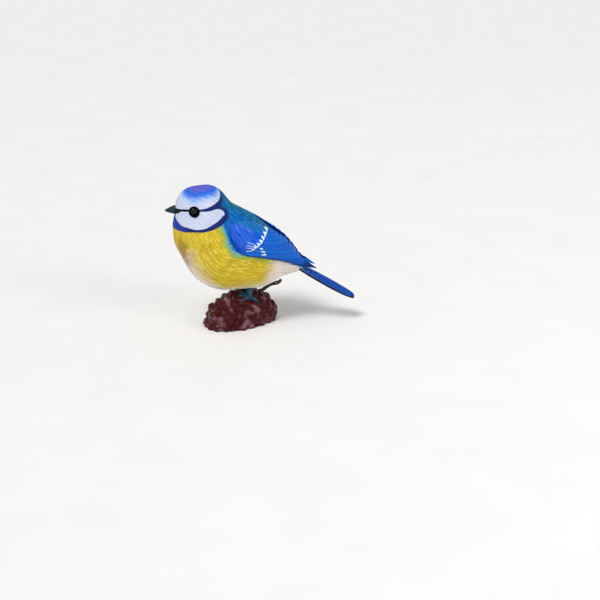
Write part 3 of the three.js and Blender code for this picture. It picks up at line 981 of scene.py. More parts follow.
def foot_paint(look):
    paint = Paint("foot_paint")
    worn = paint.noise(paint.place(), 700.0, 4.0)
    base = paint.mix(paint.step(worn, 0.4, 0.7), look.slate, "wet slate")
    # Painted shade in the grooves between the rings of the legs and toes.
    base = paint.mix(paint.step(paint.value("groove"), 0.45, 0.9) * 0.8, base, "crease")
    paint.raise_by(worn, 0.08, 0.5)
    return paint.finish(base, 0.38 + 0.2 * worn, 0.3)


def claw_paint(look):
    paint = Paint("claw_paint")
    grain = paint.noise(paint.place(), 1200.0, 2.0)
    base = paint.mix(paint.step(grain, 0.4, 0.7), look.claw, "worn claw")
    return paint.finish(base, 0.25 + 0.15 * grain, 0.5)


def cone_paint(look):
    """Dark glossy bark, with painted shade between the scales and a pinkish painted highlight on the proudest
    scales.
    """
    paint = Paint("cone_paint")
    mix, step, proud = paint.mix, paint.step, paint.value("proud")
    patch = paint.noise(paint.place(), 330.0, 3.0)
    fine = paint.noise(paint.place(), 1500.0, 4.0)
    # Painted shade between the scales, darkest where the surface lies deepest.
    base = mix(step(proud + (fine - 0.5) * 0.3, 0.25, 1.1), look.deep, look.bark)
    base = mix(step(patch, 0.45, 0.65) * 0.5, base, "ox blood")
    # Painted highlight: pinkish patches on the proudest scales' tips.
    brushed = step(proud + (fine - 0.5) * 0.7, 0.7, 1.5) * step(patch, 0.5, 0.7)
    base = mix(brushed * 0.42, base, look.tip_highlight)
    paint.raise_by(fine, 0.06, 0.5)
    paint.raise_by(paint.noise(paint.place(), 500.0, 3.0), 0.2, 0.4)
    roughness = 0.24 + 0.2 * step(fine, 0.35, 0.75) + 0.2 * brushed
    return paint.finish(base, roughness, 0.12, Coat_Weight=0.08, Coat_Roughness=0.08)


def twig_paint(look):
    paint = Paint("twig_paint")
    grain = paint.noise(paint.place(), 900.0, 5.0)
    base = paint.mix(paint.step(grain, 0.4, 0.7), "peat", look.twig)
    base = paint.mix(paint.step(paint.value("bud"), 0.3, 0.8), base, "moss")
    paint.raise_by(grain, 0.15, 0.8)
    return paint.finish(base, 0.5 + 0.2 * grain, 0.4)


def floor_paint(look):
    paint = Paint("floor_paint")
    mottled = paint.noise(paint.place(), 40.0, 2.0)
    return paint.finish(paint.mix(paint.step(mottled, 0.2, 0.8), look.floor, "paper"), 0.8, 0.2)


# Pieces


def head_markings(p):
    """Distances from the painted outlines of the head, in millimetres, positive inside."""
    d = p - HEAD_HEART
    far = np.linalg.norm(d, axis=1)
    round_deg = np.degrees(np.arctan2(np.abs(d[:, 1]), -d[:, 0]))
    up_deg = np.degrees(np.arcsin(d[:, 2] / far))
    degree = math.radians(1) * HEAD_RADIUS
    near_head = smooth(13.5, 11.5, far)
    crown = (up_deg - curve_at(WHITE_CROWN_EDGE, round_deg)) * degree
    crown *= 1 / np.sqrt(1 + smooth(90, 130, round_deg) * (1 - smooth(165, 180, round_deg)) * 0.5)
    collar = (up_deg - curve_at(COLLAR_EDGE, round_deg)) * degree
    loop = through(WHITE_CHEEK + WHITE_CHEEK[:1], 6)[:-1] * degree
    cheek = outline_distance(loop, round_deg * degree, up_deg * degree)
    from_cap = np.abs((p[:, 0] - CAP["x"]) / CAP["long"]) ** 3 + np.abs(p[:, 1] / CAP["wide"]) ** 3
    from_eye = np.hypot(p[:, 0] - EYE["x"], p[:, 2] - EYE["z"])
    front = (round_deg < 88) & (crown < 0) & (cheek < 0) & (up_deg > 0)
    lid = LID_RADIUS - from_eye * np.where(p[:, 2] > EYE["z"], 1.0, 0.97)
    return {
        "crown": np.where(far < 12.5, crown, -3),
        "collar": np.where(far < 14.5, collar, -3) * near_head - 3 * (1 - near_head),
        "cheek": np.where(far < 12.5, cheek, -3),
        "cap": np.where(p[:, 2] > CAP["above"], 1 - from_cap ** (1 / 3), -1),
        "lore": np.where(front, np.minimum(-crown, -cheek) + 0.42, -1.0),
        "lid": np.where(np.abs(p[:, 1]) > 4, lid, -1),
        "front": 1 - smooth(35, 75, round_deg),
        "behind": smooth(128, 150, round_deg),
    }


def body_markings(p):
    """Distances from the edges of the body's colours, in millimetres, positive inside."""
    x, y, z = p[:, 0], np.abs(p[:, 1]), p[:, 2]
    belly = np.minimum(5.6 + 1.6 * smooth(-4, -12, x) - y, (25.5 - z) * 0.8)
    under_tail = x - 10.4 - 0.35 * (z - 22)
    streak_middle = np.interp(z, [16, 22, 29], [0, 3.6, 6.2])
    streak = 2.1 - np.abs(y - streak_middle) - 0.4 * np.abs(z - 26).clip(3)
    return {
        "back": outline_distance(through(BLUE_BACK, 5), x, z),
        "rump": x - 9,
        "ridge": smooth(7.5, 1.0, y) * smooth(30, 37, z),
        "belly": np.maximum(belly, under_tail),
        "streak": np.where(x < -9, streak, -9),
    }


def rough_body():
    """The smooth body's skin, found by going outwards from its heart until it ends."""
    out = ball_points(ROUGH_ROWS, ROUGH_COLUMNS)
    near = np.zeros(len(out))
    for reach in np.arange(0.5, 40, 0.5):
        near = np.where(outside_bird(BODY_HEART + out * reach) < 0, reach, near)
    far = near + 0.5
    for _ in range(12):
        middle = (near + far) / 2
        within = outside_bird(BODY_HEART + out * middle[:, None]) < 0
        near, far = np.where(within, middle, near), np.where(within, far, middle)
    faces = tube_faces(ROUGH_ROWS + 1, ROUGH_COLUMNS)
    rough = add_piece("rough_body", BODY_HEART + out * near[:, None], faces)
    turn_outwards(rough)
    return rough


def eye_relief(p):
    """How bare the skin is by the eye and the bill, and the eye's socket, lid and brow."""
    from_eye = np.hypot(p[:, 0] - EYE["x"], p[:, 2] - EYE["z"])
    by_eye = (np.abs(p[:, 1]) > 4) & (p[:, 0] < -10)
    bare = np.where(by_eye, smooth(2.6, 1.9, from_eye), 0)
    bare = np.maximum(bare, smooth(3.0, 2.0, np.linalg.norm(p - BARE_AT_BILL, axis=1)))
    lid = np.exp(-(((from_eye - 1.66) / 0.2) ** 2)) * 0.2
    brow = np.exp(-(((from_eye - 2.15) / 0.45) ** 2)) * 0.12 * smooth(-0.4, 0.8, p[:, 2] - EYE["z"])
    socket = -0.95 * smooth(1.62, 1.3, from_eye)
    return bare, np.where(by_eye, lid + brow + socket, 0)


def drawn_in(p):
    """The skin's distance to the side, drawn in where a wing lies over it."""
    y = p[:, 1]
    a, b = turned(p[:, 0] - WING["x"], p[:, 2] - WING["z"], WING["slope"])
    high, low = wing_shape(a, HIGH), wing_shape(a, LOW)
    covered = (a > WING["start"] + 0.5) & (a < WING["end"] - 0.5) & (b > low + 0.35) & (b < high - 0.35)
    t = np.clip((2 * b - high - low) / (high - low), 0, 1)
    limit = wing_shape(a, OUT) * (1 - (1 - wing_shape(a, CURL)) * t**2) - wing_shape(a, THICK) * 0.5
    return np.where(covered, np.sign(y) * np.minimum(np.abs(y), limit), y)


def build_plumage(look):
    p, faces = remeshed(rough_body(), look.grain * (1))
    for _ in range(2):
        p = p - way_out(p) * outside_bird(p)[:, None]
    along, around = body_flow(p)
    across = ACROSS_PER_RADIAN * np.abs(around) + SIDES_APART * np.sin(around)
    drift = cloud(np.column_stack([along, across]), 5.0, 3) * 0.5
    length, width = look.feather_length / MM, look.feather_width / MM
    body = carve(along, across + drift, length, width, 11)
    fine = carve(along, across + drift * 0.5, length * 0.62, width * 0.7, 23)
    head = smooth(13.0, 10.5, np.linalg.norm(p - HEAD_HEART, axis=1))
    relief, tone = (np.where(head > 0.5, short, long) for short, long in zip(fine, body))
    marks = head_markings(p)
    bare, round_eye = eye_relief(p)
    depth = look.feather_depth / MM * (1 - 0.35 * head - 0.3 * smooth(-0.2, 0.4, marks["cheek"]))
    swell = cloud(p, 6.0, 5) * 0.1
    lift = round_eye - look.inset / MM + (relief * depth + swell) * (1 - bare)
    p = p + way_out(p) * lift[:, None]
    p[:, 1] = drawn_in(p)
    marks.update(body_markings(p), along=along, across=across, relief=relief * (1 - bare), tone=tone)
    room = around / (2 * np.pi) + 0.5, np.clip(along / SKIN_ROOM, 0, 1) * (1 - 2 * ROOM_EDGE) + ROOM_EDGE
    skin = add_piece("plumage", p, faces, plumage_paint(look), marks, room)
    hand_over(skin, "body_paint", "head", "neck", "trunk")


def bar_place(b):
    """How far along the wing the white bar lies at each height."""
    line = through(WING_BAR, 8)[:, ::-1]
    return np.interp(b, *np.array(sorted(line.tolist())).T)


def flight_feathers(a, b, pitch):
    """Relief and tone of the flight feathers, whose edges run from the upper edge to the tip."""
    table = np.linspace(2, 33, 400)
    edge = wing_shape(table, HIGH) - FEATHER_SWEEP * table
    tip = np.interp(-(b - FEATHER_SWEEP * a), -edge, table)
    number = np.floor((tip - SCALLOP_FROM) / pitch)
    f = (tip - SCALLOP_FROM) / pitch - number
    ridges = 0.5 + 0.5 * np.cos(2 * np.pi * (f * 3 + 0.15 * cloud(np.column_stack([a, b]), 3.0, 9)))
    relief = (0.12 + 0.88 * f**0.8) * smooth(1.0, 0.93, f) * (0.84 + 0.16 * ridges)
    return relief, scatter(np.column_stack([number, number * 0 + 2]), 31)


def coverts(a, b):
    """Relief and tone of the shoulder's short strokes and the longer ones behind, and their share."""
    short = carve(*turned(a, b, COVERT_TURN), 2.1, 0.42, 41)
    lean, sweep = COVERT_LEAN
    long = carve(a * lean - b * sweep, b * lean + a * sweep, 3.0, 0.8, 51)
    shoulder = smooth(7.0, 4.0, a - 0.35 * b)
    relief = short[0] * shoulder + long[0] * (1 - shoulder)
    return relief, np.where(shoulder > 0.5, short[1], long[1]), shoulder


def wing_bar(a, b, half_width):
    """Distance inside the white bar, its teeth in front and the short dashes below it."""
    ahead = (bar_place(b) - a).clip(0)
    tooth = np.abs((((b + 0.35 * a) / BAR_TOOTH) % 1.0) - 0.5) * 2
    teeth = (0.42 - tooth) * 0.5 - 0.16 * (ahead - 0.8)
    teeth = np.where((ahead > 0) & (ahead < BAR_TOOTH) & (b > 0.6), np.minimum(teeth, 1.15 - ahead), -1)
    from_bar = outline_distance(through(WING_BAR, 8), a, b, closed=False)
    bar = np.maximum(half_width * (1 - 0.3 * smooth(0, -1.5, b)) - from_bar, teeth)
    for dash in WING_DASHES:
        (start, _), (end, _) = dash
        taper = np.clip((a - start) / (end - start), 0, 1)
        bar = np.maximum(bar, 0.08 + 0.24 * taper - outline_distance(dash, a, b, closed=False))
    return bar


def wing_dark(a, b, low):
    """How far the dark paint comes in from the wing's lower edge, shoulder and tip."""
    lower = b - low
    front = 0.5 - (a - WING["start"]).clip(0) * 0.8
    dark = np.maximum(0.42 - lower, np.where((a < 4) & (b < 2.5), front, -1))
    behind = np.where(a > 10, (0.5 - lower * 0.35).clip(None, 0.3) * 0.4, 0)
    return np.maximum(dark, (a - 27.5) * 0.25) + behind


def wing_points(side, rows, outer, inner, look):
    """The wing's points, row by row from shoulder to tip, what is painted on them, and their room."""
    outside = np.linspace(0, np.pi, outer, endpoint=False)
    inside = np.linspace(np.pi, 2 * np.pi, inner, endpoint=False)
    v, around = np.meshgrid(np.arange(rows + 1) / rows, np.concatenate([outside, inside]), indexing="ij")
    v, around = v.ravel(), around.ravel()
    a = WING["start"] + (WING["end"] - WING["start"]) * (1 - np.cos(v * np.pi)) / 2
    ends = np.sin(v * np.pi).clip(0) ** 0.6
    t = np.where((v == 0) | (v == 1), 0, np.cos(around))
    s = np.sin(around)
    pitch = look.feather_pitch / MM
    f = ((a - SCALLOP_FROM) / pitch) % 1.0
    scalloped = smooth(SCALLOP_FROM, SCALLOP_FROM + SCALLOP_FADE, a)
    scalloped = scalloped * (1 - smooth(SCALLOP_TO - SCALLOP_FADE, SCALLOP_TO, a))
    high = wing_shape(a, HIGH) + scalloped * 0.5 * (np.sqrt(np.clip(1 - f**3, 0, 1)) - 0.75)
    low = wing_shape(a, LOW)
    b = (high + low) / 2 + (high - low) / 2 * t

    flight = smooth(-0.1, 0.15, a - bar_place(b))
    flight_relief, flight_tone = flight_feathers(a, b, pitch)
    covert_relief, covert_tone, shoulder = coverts(a, b)
    relief = covert_relief * (1 - flight) + flight_relief * flight
    depth = look.feather_depth / MM * (0.7 * (1 - flight) + flight) * smooth(0.4, 1.6, wing_shape(a, THICK))
    raised = (relief - 0.62) * depth + (1 - flight) * 0.16 * smooth(2.5, 6.0, a)

    thick = wing_shape(a, THICK) / 2
    shell = np.where(np.abs(s) < 1e-9, 0, np.sign(s) * np.abs(s) ** 0.55) * ends * thick
    face = (s > 0) * smooth(0.0, 0.3, s) * smooth(0, 0.12, ends)
    inward = (1 - wing_shape(a, CURL)) * t.clip(0) ** 2 + 0.05 * t.clip(None, 0) ** 2
    out = wing_shape(a, OUT) * (1 - inward) - thick + shell + face * raised
    rays = [RAY_WIDTH - outline_distance(ray, a, b, closed=False) for ray in WING_RAYS]
    values = {
        "along": a,
        "across": b,
        "relief": np.where(face > 0.2, relief, 0.5),
        "tone": np.where(flight > 0.5, flight_tone, covert_tone),
        "flight": flight,
        "shoulder": shoulder * smooth(7.2, 4.5, b),
        "high": smooth(2.5, 7.0, b) * smooth(15, 10, a),
        "bar": np.where(s > -0.05, wing_bar(a, b, look.bar_width / MM), -1),
        "rays": np.where(s > 0, np.maximum.reduce(rays).clip(-1), -1),
        "dark": wing_dark(a, b, low),
        # under: the inner face, where the lighter blue painted light goes.
        "under": smooth(0.0, -0.3, s),
    }
    column = np.tile(np.arange(outer + inner), rows + 1) / (outer + inner)
    return sloped(WING, a, side * out, b), values, (column, (a + 2.5) / WING_ROOM)


def build_wings(look):
    material = wing_paint(look)
    rows, outer, inner = ((360, 216, 24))
    for side, name in ((-1, "wing_left"), (1, "wing_right")):
        points, values, room = wing_points(side, rows, outer, inner, look)
        faces = tube_faces(rows + 1, outer + inner)
        wing = add_piece("feathers_" + name, points, faces, material, values, room)
        turn_outwards(wing)
        hand_over(wing, "wing_paint", name)


def build_tail(look):
    rows, columns = ((230, 220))
    v, around = tube_grid(rows, columns)
    s = TAIL["length"] * (1 - np.cos(v * np.pi)) / 2
    places = np.linspace(0, TAIL["length"], len(TAIL_HALF_WIDTHS))
    half = curve_at(np.column_stack([places, TAIL_HALF_WIDTHS]), s)
    ends = np.sin(v * np.pi).clip(0) ** 0.35
    y = half * ends * np.cos(around)
    thinning = 1 - 0.35 * np.abs(np.cos(around))
    lift = ends * (TAIL["thick"] / 2 * np.sin(around) * thinning + TAIL["roof"] * (1 - np.abs(y) / 4))

    feather_at = np.abs(y) / half * TAIL_FEATHERS + 0.06 * cloud(np.column_stack([s, y]), 4.0, 6)
    number = np.floor(feather_at)
    f = feather_at - number
    ridges = 0.5 + 0.5 * np.cos(2 * np.pi * f * 2.5)
    relief = (0.2 + 0.8 * (f**0.8)) * smooth(1.0, 0.9, f) * (0.85 + 0.15 * ridges)
    top = smooth(-0.05, 0.25, np.sin(around)) * smooth(0, 0.25, ends)
    below = smooth(-0.1, -0.4, np.sin(around)) * smooth(0, 0.25, ends)
    lift += (relief - 0.6) * look.feather_depth / MM * (top - below * 0.6)
    split = smooth(TAIL["length"] - TAIL_SPLIT_FROM, TAIL["length"], s) * TAIL_SPLIT_DEPTH
    s = s - split * (1 - smooth(0.0, 0.35, f)) * (np.abs(y) > 0.5)
    values = {
        "along": s,
        "across": y,
        "relief": relief * top + 0.5 * (1 - top),
        "tone": scatter(np.column_stack([number, np.sign(y)]), 71),
        "under": smooth(0.55, 0.1, np.sin(around)),
    }
    faces, room = tube_faces(rows + 1, columns), (around / (2 * np.pi), (s + 1) / TAIL_ROOM)
    tail = add_piece("feathers_tail", sloped(TAIL, s, y, lift), faces, tail_paint(look), values, room)
    turn_outwards(tail)
    hand_over(tail, "wing_paint", "tail")


def cut_at_gape(half, lower):
    """Keeps the part of a whole bill above or below its gape, closed where it is cut."""
    mesh = bmesh.new()
    mesh.from_mesh(half.data)
    gape = BILL["gape"] + (-BILL_GAP if lower else BILL_GAP)
    cut = bmesh.ops.bisect_plane(
        mesh,
        geom=mesh.verts[:] + mesh.edges[:] + mesh.faces[:],
        plane_co=(0, 0, gape * MM),
        plane_no=(GAPE_SLOPE, 0, 1),
        clear_outer=lower,
        clear_inner=not lower,
    )
    rim = [e for e in cut["geom_cut"] if isinstance(e, bmesh.types.BMEdge)]
    bmesh.ops.holes_fill(mesh, edges=rim)
    bmesh.ops.recalc_face_normals(mesh, faces=mesh.faces)
    mesh.to_mesh(half.data)
    mesh.free()


def build_bill(look):
    material = bill_paint(look)
    rows, columns = 64, 72
    v, around = tube_grid(rows, columns)
    along = (1 - np.cos(v * np.pi)) / 2
    taper = np.sqrt(np.sin(v * np.pi).clip(0)) * np.where(along < 0.5, 1, 1 - 0.55 * (2 * along - 1))
    x = BILL["root"] + (BILL["tip"] - BILL["root"]) * along
    y = BILL["wide"] * taper * np.cos(around) * (1 - 0.2 * along)
    z = BILL["z"] - BILL["drop"] * along**2 + BILL["high"] * taper * np.sin(around) * (1 - 0.25 * along)
    nostril = np.exp(-(((x - NOSTRIL[0]) / 0.28) ** 2) - (((z - NOSTRIL[1]) / 0.2) ** 2))
    y = y - np.sign(y) * 0.22 * nostril
    z = z + np.exp(-((y / 0.35) ** 2)) * (np.sin(around) > 0) * 0.1 * np.sin(v * np.pi)
    dark = np.maximum(nostril, smooth(0.85, 1.0, along) * 0.8)
    points, faces = np.column_stack([x, y, z]), tube_faces(rows + 1, columns)
    for name, lower in (("bill_upper", False), ("bill_lower", True)):
        half = add_piece("horn_" + name, points, faces, material, {"dark": dark})
        turn_outwards(half)
        cut_at_gape(half, lower)
        hand_over(half, "bill_paint", name)


def build_eyes(look):
    material = eye_paint(look)
    rows, columns = 40, 64
    for side, name in ((-1, "eye_left"), (1, "eye_right")):
        centre = np.array([EYE["x"], side * EYE["y"], EYE["z"]])
        points = centre + ball_points(rows, columns) * EYE["r"]
        eye = add_piece("gloss_" + name, points, tube_faces(rows + 1, columns), material)
        turn_outwards(eye)
        hand_over(eye, "eye_gloss", name)


def cone_top(x, y):
    """Height of the cone's smooth outline over a place."""
    along, across = turned(x, y, -CONE["turn"])
    left = 1 - (along / CONE["long"]) ** 2 - (across / CONE["wide"]) ** 2
    return CONE["middle"] + CONE["high"] * math.sqrt(max(left, 0))


def toe_line(x, y, heading, reach, shares, sink=0.0):
    """A toe's points with their radii, laid over the cone."""
    line = []
    for part, thick in shares:
        px, py = x + math.cos(heading) * reach * part, y + math.sin(heading) * reach * part
        r = FOOT["toe"] * thick
        line.append((px, py, cone_top(px, py) + r - sink * part**4, r))
    return line


def build_feet(look):
    skin, horn = foot_paint(look), claw_paint(look)
    for side, name in ((-1, "foot_left"), (1, "foot_right")):
        x, y = FOOT["x"], side * FOOT["y"]
        sole = cone_top(x, y) + FOOT["toe"] * 0.7
        shin = [
            (x + 0.5, y * 0.85, FOOT["leg_top"], FOOT["leg"] * 1.2),
            (x + 0.2, y * 0.95, (FOOT["leg_top"] + sole) / 2, FOOT["leg"] * 0.9),
            (x, y, sole, FOOT["leg"] * 0.8),
        ]
        parts, claws = [rod(shin)], []
        for degrees, reach in TOES:
            heading = math.radians(180 - side * degrees + (RIGHT_FOOT_TURN if side > 0 else 0))
            parts.append(rod(toe_line(x, y, heading, reach, TOE)))
            claws.append(rod(toe_line(x, y, heading, reach, CLAW, CLAW_SINK), 16, 6))
        points, faces = remeshed(join_rods("rough_foot", parts, skin), FOOT["grain"] * MM)
        points = neighbour_mean(points, faces, 4)
        from_shin = np.hypot(points[:, 0] - x, points[:, 1] - y)
        shin_ring = np.cos(points[:, 2] * 2 * np.pi / SHIN_RINGS)
        toe_ring = np.cos(from_shin * 2 * np.pi / TOE_RINGS)
        leg = smooth(1.3, 1.0, from_shin) * smooth(sole, sole + 0.8, points[:, 2])
        groove = smooth(0.3, 1.0, -(shin_ring * leg + toe_ring * (1 - leg)))
        foot = add_piece("skin_" + name, points, faces, skin, {"groove": groove})
        shrink(foot, groove * 0.06)
        talons = join_rods("claws_" + name, claws, horn)
        turn_outwards(talons)
        for piece in (foot, talons):
            hand_over(piece, "foot_paint", name)


def scale_shape():
    """One cone scale, a rounded tongue about a millimetre wide that thickens towards its tip."""
    rows, columns = 7, 8
    ball = ball_points(rows, columns)[:, [1, 0, 2]]
    tip = smooth(-0.6, 1.0, ball[:, 0])
    x, y = ball[:, 0] * 0.66, ball[:, 1] * (0.46 + 0.1 * tip)
    z = ball[:, 2] * (0.2 + 0.16 * tip) + 0.14 * tip
    z += np.exp(-(((x - 0.3) / 0.16) ** 2) - ((y / 0.12) ** 2)) * 0.1
    return add_piece("scale_shape", np.column_stack([x, y, z]), tube_faces(rows + 1, columns))


def scale_tree(shape, material, inputs):
    """Geometry Nodes: scales set in a spiral all over an egg that lies along X."""
    group = bpy.data.node_groups.new("Cone scales", "GeometryNodeTree")
    group.interface.new_socket("Geometry", in_out="OUTPUT", socket_type="NodeSocketGeometry")
    group.interface.new_socket("Geometry", in_out="INPUT", socket_type="NodeSocketGeometry")
    for label, value in inputs.items():
        kind = "NodeSocketInt" if isinstance(value, int) else "NodeSocketFloat"
        group.interface.new_socket(label, in_out="INPUT", socket_type=kind)

    tree = Tree(group)
    count, long, wide, high, grow, seed = (tree.node("NodeGroupInput", out=label) for label in inputs)

    def vary(low, high):
        sockets = {2: low, 3: high, "Seed": seed}
        return tree.node("FunctionNodeRandomValue", {"data_type": "FLOAT"}, sockets, out=1)

    def vector(x, y, z):
        return tree.node("ShaderNodeCombineXYZ", None, {0: x, 1: y, 2: z})

    index = tree.node("GeometryNodeInputIndex")
    along = 1.0 - (index * 2.0 + 1.0) / count
    ring = (1.0 - along * along).root()
    angle_round = index * SPIRAL_STEP
    side, up = ring * angle_round.cosine(), ring * angle_round.sine()
    line = tree.node("GeometryNodeMeshLine", None, {"Count": count})
    place = {"Geometry": line, "Position": vector(along * long, side * wide, up * high)}
    placed = tree.node("GeometryNodeSetPosition", None, place)

    outwards = {"Vector": vector(along / long, side / wide, up / high)}
    upright = tree.node("FunctionNodeAlignRotationToVector", {"axis": "Z"}, outwards)
    forwards = {"Rotation": upright, "Vector": (1.0, 0.0, 0.0)}
    lying = tree.node("FunctionNodeAlignRotationToVector", {"axis": "X", "pivot_axis": "Z"}, forwards)
    tilt = tree.node("FunctionNodeEulerToRotation", None, {"Euler": vector(0.0, -0.22, vary(-0.3, 0.3))})
    tilted = {"Rotation": lying, "Rotate By": tilt}
    tilted = tree.node("FunctionNodeRotateRotation", {"rotation_space": "LOCAL"}, tilted)

    sample = tree.node("GeometryNodeObjectInfo", None, {"Object": shape}, out=4)
    copies = {"Points": placed, "Instance": sample, "Rotation": tilted, "Scale": vary(0.8, 1.25) * grow}
    copies = tree.node("GeometryNodeInstanceOnPoints", None, copies)
    real = tree.node("GeometryNodeRealizeInstances", None, {"Geometry": copies})
    painted = tree.node("GeometryNodeSetMaterial", None, {"Geometry": real, "Material": material})
    tree.node("NodeGroupOutput", None, {"Geometry": painted})
    return group


def cone_scales(look, material):
    """Points and faces of all the scales, on a cone that lies along X about the origin."""
    long, wide, high = ((CONE[key] - inset) * MM for key, inset in zip(("long", "wide", "high"), SCALE_ROOTS))
    inputs = {
        "Scales": look.scales,
        "Long": long,
        "Wide": wide,
        "High": high,
        "Scale size": look.scale_size / MM,
        "Seed": look.seed,
    }
    shape = scale_shape()
    carrier = add_piece("cone_carrier", [(0, 0, 0)], [], material)
    modifier = carrier.modifiers.new("Cone scales", "NODES")
    modifier.node_group = scale_tree(shape, material, inputs)
    for item in modifier.node_group.interface.items_tree:
        if item.in_out == "INPUT" and item.name in inputs:
            modifier[item.identifier] = inputs[item.name]
    carrier.update_tag()
    points, faces = take_shape(carrier)
    remove(shape)
    return points, faces


def build_cone(look):
    material = cone_paint(look)
    scales, scale_faces = cone_scales(look, material)
    rows, columns = 40, 60
    half = np.array([CONE[key] - inset for key, inset in zip(("long", "wide", "high"), CORE_INSET)])
    core = ball_points(rows, columns)[:, [1, 0, 2]] * half
    x, y, z = np.vstack([scales, core]).T
    z = z + CONE["middle"]
    z = np.where(z < CONE_FLAT, CONE_FLAT + (z - CONE_FLAT) * 0.001, z)
    faces = scale_faces + (tube_faces(rows + 1, columns) + len(scales)).tolist()
    rough = add_piece("rough_cone", np.column_stack([*turned(x, y, CONE["turn"]), z]), faces, material)
    turn_outwards(rough)

    points, faces = remeshed(rough, CONE_GRAIN * MM)
    points = neighbour_mean(points, faces, 4)
    points[:, 2] = np.where(points[:, 2] < CONE_FLAT + 0.12, 0.0, points[:, 2])
    x, y = turned(points[:, 0], points[:, 1], -CONE["turn"])
    from_middle = np.column_stack([x, y, points[:, 2] - CONE["middle"]])
    away = np.linalg.norm(from_middle / half, axis=1)
    proud = (away - 1) / away * np.linalg.norm(from_middle, axis=1)
    around = np.arctan2(y, -from_middle[:, 2]) / (2 * np.pi) + 0.5
    room = around, x / CONE_ROOM + 0.5
    cone = add_piece("scales_cone", points, faces, material, {"proud": proud}, room)
    hand_over(cone, "cone_paint", "cone")


def build_twig(look):
    def bark(along, around, points):
        return 0.16 * cloud(points, 0.7, 8) + 0.1 * np.cos(3 * around + 9 * along)

    points, faces, along = rod(TWIG_POINTS, 28, 22, bark)
    bud = np.exp(-(((along - 0.62) / 0.06) ** 2))
    twig = add_piece("bark_twig", points, faces, twig_paint(look), {"bud": bud})
    shrink(twig, -bud * 0.12)
    turn_outwards(twig)
    hand_over(twig, "cone_paint", "twig")


def add_camera(look):
    """The camera, so that the figurine stands off the picture's middle as it was taken."""
    turn, lift = look.turn, look.lift
    back = Vector((math.sin(turn) * math.cos(lift), -math.cos(turn) * math.cos(lift), math.sin(lift)))
    right = Vector((math.cos(turn), math.sin(turn), 0))
    up = back.cross(right)
    away = PICTURE_HALF * look.pixel / math.tan(look.view / 2)
    aim = (right * (PICTURE_HALF - BIRD_RIGHT) + up * (BIRD_DOWN - PICTURE_HALF)) * look.pixel
    eye = bpy.data.cameras.new("camera")
    eye.angle = look.view
    eye.sensor_fit = "HORIZONTAL"
    eye.clip_start, eye.clip_end = 0.01, 20
    camera = bpy.data.objects.new("camera", eye)
    facing = Matrix((right, up, back)).transposed().to_4x4()
    camera.matrix_world = Matrix.Translation(aim + back * away) @ facing
    bpy.context.collection.objects.link(camera)
    bpy.context.scene.camera = camera


def add_light(name, kind, shines, **settings):
    """A light that shines in the given direction."""
    light = bpy.data.lights.new(name, kind)
    for key, value in settings.items():
        setattr(light, key, value)
    holder = bpy.data.objects.new(name, light)
    holder.rotation_euler = Vector(shines).to_track_quat("-Z", "Y").to_euler()
    bpy.context.collection.objects.link(holder)
    return holder


def add_world():
    """A soft white room, brighter near the floor than overhead."""
    world = bpy.data.worlds.new("soft room")
    world.use_nodes = True
    tree = Tree(world.node_tree)
    where = tree.node("ShaderNodeTexCoord", out="Generated")
    high = tree.node("ShaderNodeSeparateXYZ", None, {0: where}, out="Z")
    dims = {"Value": high, "From Min": 0.0, "From Max": 0.45, "To Min": 0.86, "To Max": 0.46}
    strength = tree.node("ShaderNodeMapRange", None, dims)
    room = world.node_tree.nodes["Background"]
    room.inputs["Color"].default_value = (1, 1, 1, 1)
    world.node_tree.links.new(strength.socket, room.inputs["Strength"])
    bpy.context.scene.world = world


def build_stage(look):
    corners = [(x * FLOOR_HALF, y * FLOOR_HALF, 0) for x, y in ((-1, -1), (1, -1), (1, 1), (-1, 1))]
    add_piece("floor", corners, [(0, 1, 2, 3)], floor_paint(look))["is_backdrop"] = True
    add_camera(look)
    add_light("key", "SUN", (0.42, 0.5, -0.9), energy=1.7, angle=math.radians(20))
    place, target = Vector((0.45, -0.4, 0.3)), Vector((0, 0, 0.03))
    side = add_light("side", "AREA", target - place, shape="DISK", size=0.25, energy=0.8)
    side.location = place
    add_world()
    bpy.context.scene.view_settings.view_transform = "Standard"


# The add-on


class FIGURINE_OT_stage(bpy.types.Operator):
    """Set out the pale floor, the soft light and the camera"""

    bl_idname = "figurine.stage"
    bl_label = "Stage"

    def execute(self, context):
        build_stage(context.scene.figurine_stage)
        return {"FINISHED"}


class FIGURINE_OT_plumage(bpy.types.Operator):
    """Carve and paint the head, neck and trunk as one skin"""

    bl_idname = "figurine.plumage"
    bl_label = "Plumage"

    def execute(self, context):
        build_plumage(context.scene.figurine_plumage)
        return {"FINISHED"}


class FIGURINE_OT_wings(bpy.types.Operator):
    """Carve and paint both folded wings"""

    bl_idname = "figurine.wings"
    bl_label = "Wings"

    def execute(self, context):
        build_wings(context.scene.figurine_wings)
        return {"FINISHED"}


class FIGURINE_OT_tail(bpy.types.Operator):
    """Carve and paint the closed tail"""

    bl_idname = "figurine.tail"
    bl_label = "Tail"

    def execute(self, context):
        build_tail(context.scene.figurine_tail)
        return {"FINISHED"}


class FIGURINE_OT_bill(bpy.types.Operator):
    """Make both halves of the bill"""

    bl_idname = "figurine.bill"
    bl_label = "Bill"

    def execute(self, context):
        build_bill(context.scene.figurine_bill)
        return {"FINISHED"}


class FIGURINE_OT_eyes(bpy.types.Operator):
    """Make the two glossy eyes"""

    bl_idname = "figurine.eyes"
    bl_label = "Eyes"

    def execute(self, context):
        build_eyes(context.scene.figurine_bill)
        return {"FINISHED"}


class FIGURINE_OT_feet(bpy.types.Operator):
    """Make both feet and their claws"""

    bl_idname = "figurine.feet"
    bl_label = "Feet"

    def execute(self, context):
        build_feet(context.scene.figurine_bill)
        return {"FINISHED"}


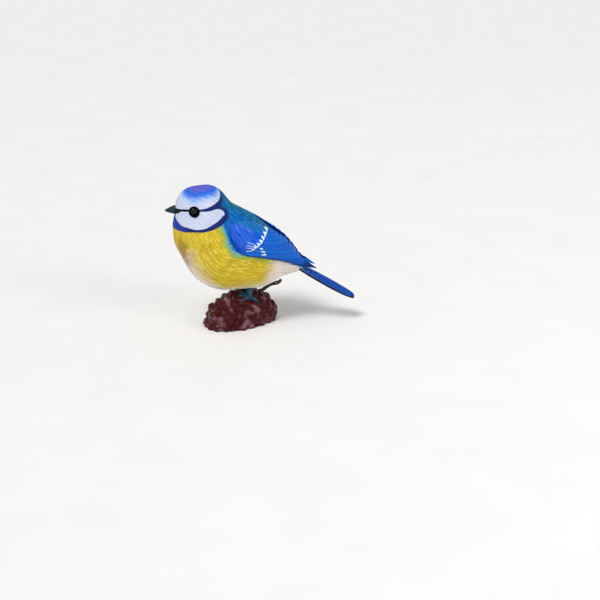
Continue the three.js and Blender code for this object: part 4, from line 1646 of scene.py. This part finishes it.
class FIGURINE_OT_cone(bpy.types.Operator):
    """Set scales in a spiral all over the cone"""

    bl_idname = "figurine.cone"
    bl_label = "Cone"

    def execute(self, context):
        build_cone(context.scene.figurine_cone)
        return {"FINISHED"}


class FIGURINE_OT_twig(bpy.types.Operator):
    """Make the twig with its bud"""

    bl_idname = "figurine.twig"
    bl_label = "Twig"

    def execute(self, context):
        build_twig(context.scene.figurine_cone)
        return {"FINISHED"}


OPERATORS = (
    FIGURINE_OT_stage,
    FIGURINE_OT_plumage,
    FIGURINE_OT_wings,
    FIGURINE_OT_tail,
    FIGURINE_OT_bill,
    FIGURINE_OT_eyes,
    FIGURINE_OT_feet,
    FIGURINE_OT_cone,
    FIGURINE_OT_twig,
)
SETTINGS = {
    "figurine_stage": StageSettings,
    "figurine_plumage": PlumageSettings,
    "figurine_wings": WingSettings,
    "figurine_tail": TailSettings,
    "figurine_bill": BillSettings,
    "figurine_cone": ConeSettings,
}


class FIGURINE_PT_panel(bpy.types.Panel):
    """Every piece of the figurine, with its sizes and colours"""

    bl_label = "Blue tit figurine"
    bl_idname = "FIGURINE_PT_panel"
    bl_space_type = "VIEW_3D"
    bl_region_type = "UI"
    bl_category = "Figurine"

    def draw(self, context):
        for operator in OPERATORS:
            self.layout.operator(operator.bl_idname)
        for name, settings in SETTINGS.items():
            box = self.layout.box()
            box.label(text=settings.__doc__)
            for key in settings.__annotations__:
                box.prop(getattr(context.scene, name), key)


def register():
    for kind in (*SETTINGS.values(), *OPERATORS, FIGURINE_PT_panel):
        bpy.utils.register_class(kind)
    for name, settings in SETTINGS.items():
        setattr(bpy.types.Scene, name, PointerProperty(type=settings))


def unregister():
    for name in SETTINGS:
        delattr(bpy.types.Scene, name)
    for kind in (FIGURINE_PT_panel, *reversed(OPERATORS), *SETTINGS.values()):
        bpy.utils.unregister_class(kind)


def main():
    register()
    bpy.ops.figurine.stage()
    bpy.ops.figurine.plumage()
    bpy.ops.figurine.wings()
    bpy.ops.figurine.tail()
    bpy.ops.figurine.bill()
    bpy.ops.figurine.eyes()
    bpy.ops.figurine.feet()
    bpy.ops.figurine.cone()
    bpy.ops.figurine.twig()
    plain = lambda box: [[float(x) for x in corner] for corner in box]
    {"cad": plain(CAD_BOX), "visual": plain(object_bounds())}


if __name__ == "__main__":
    main()
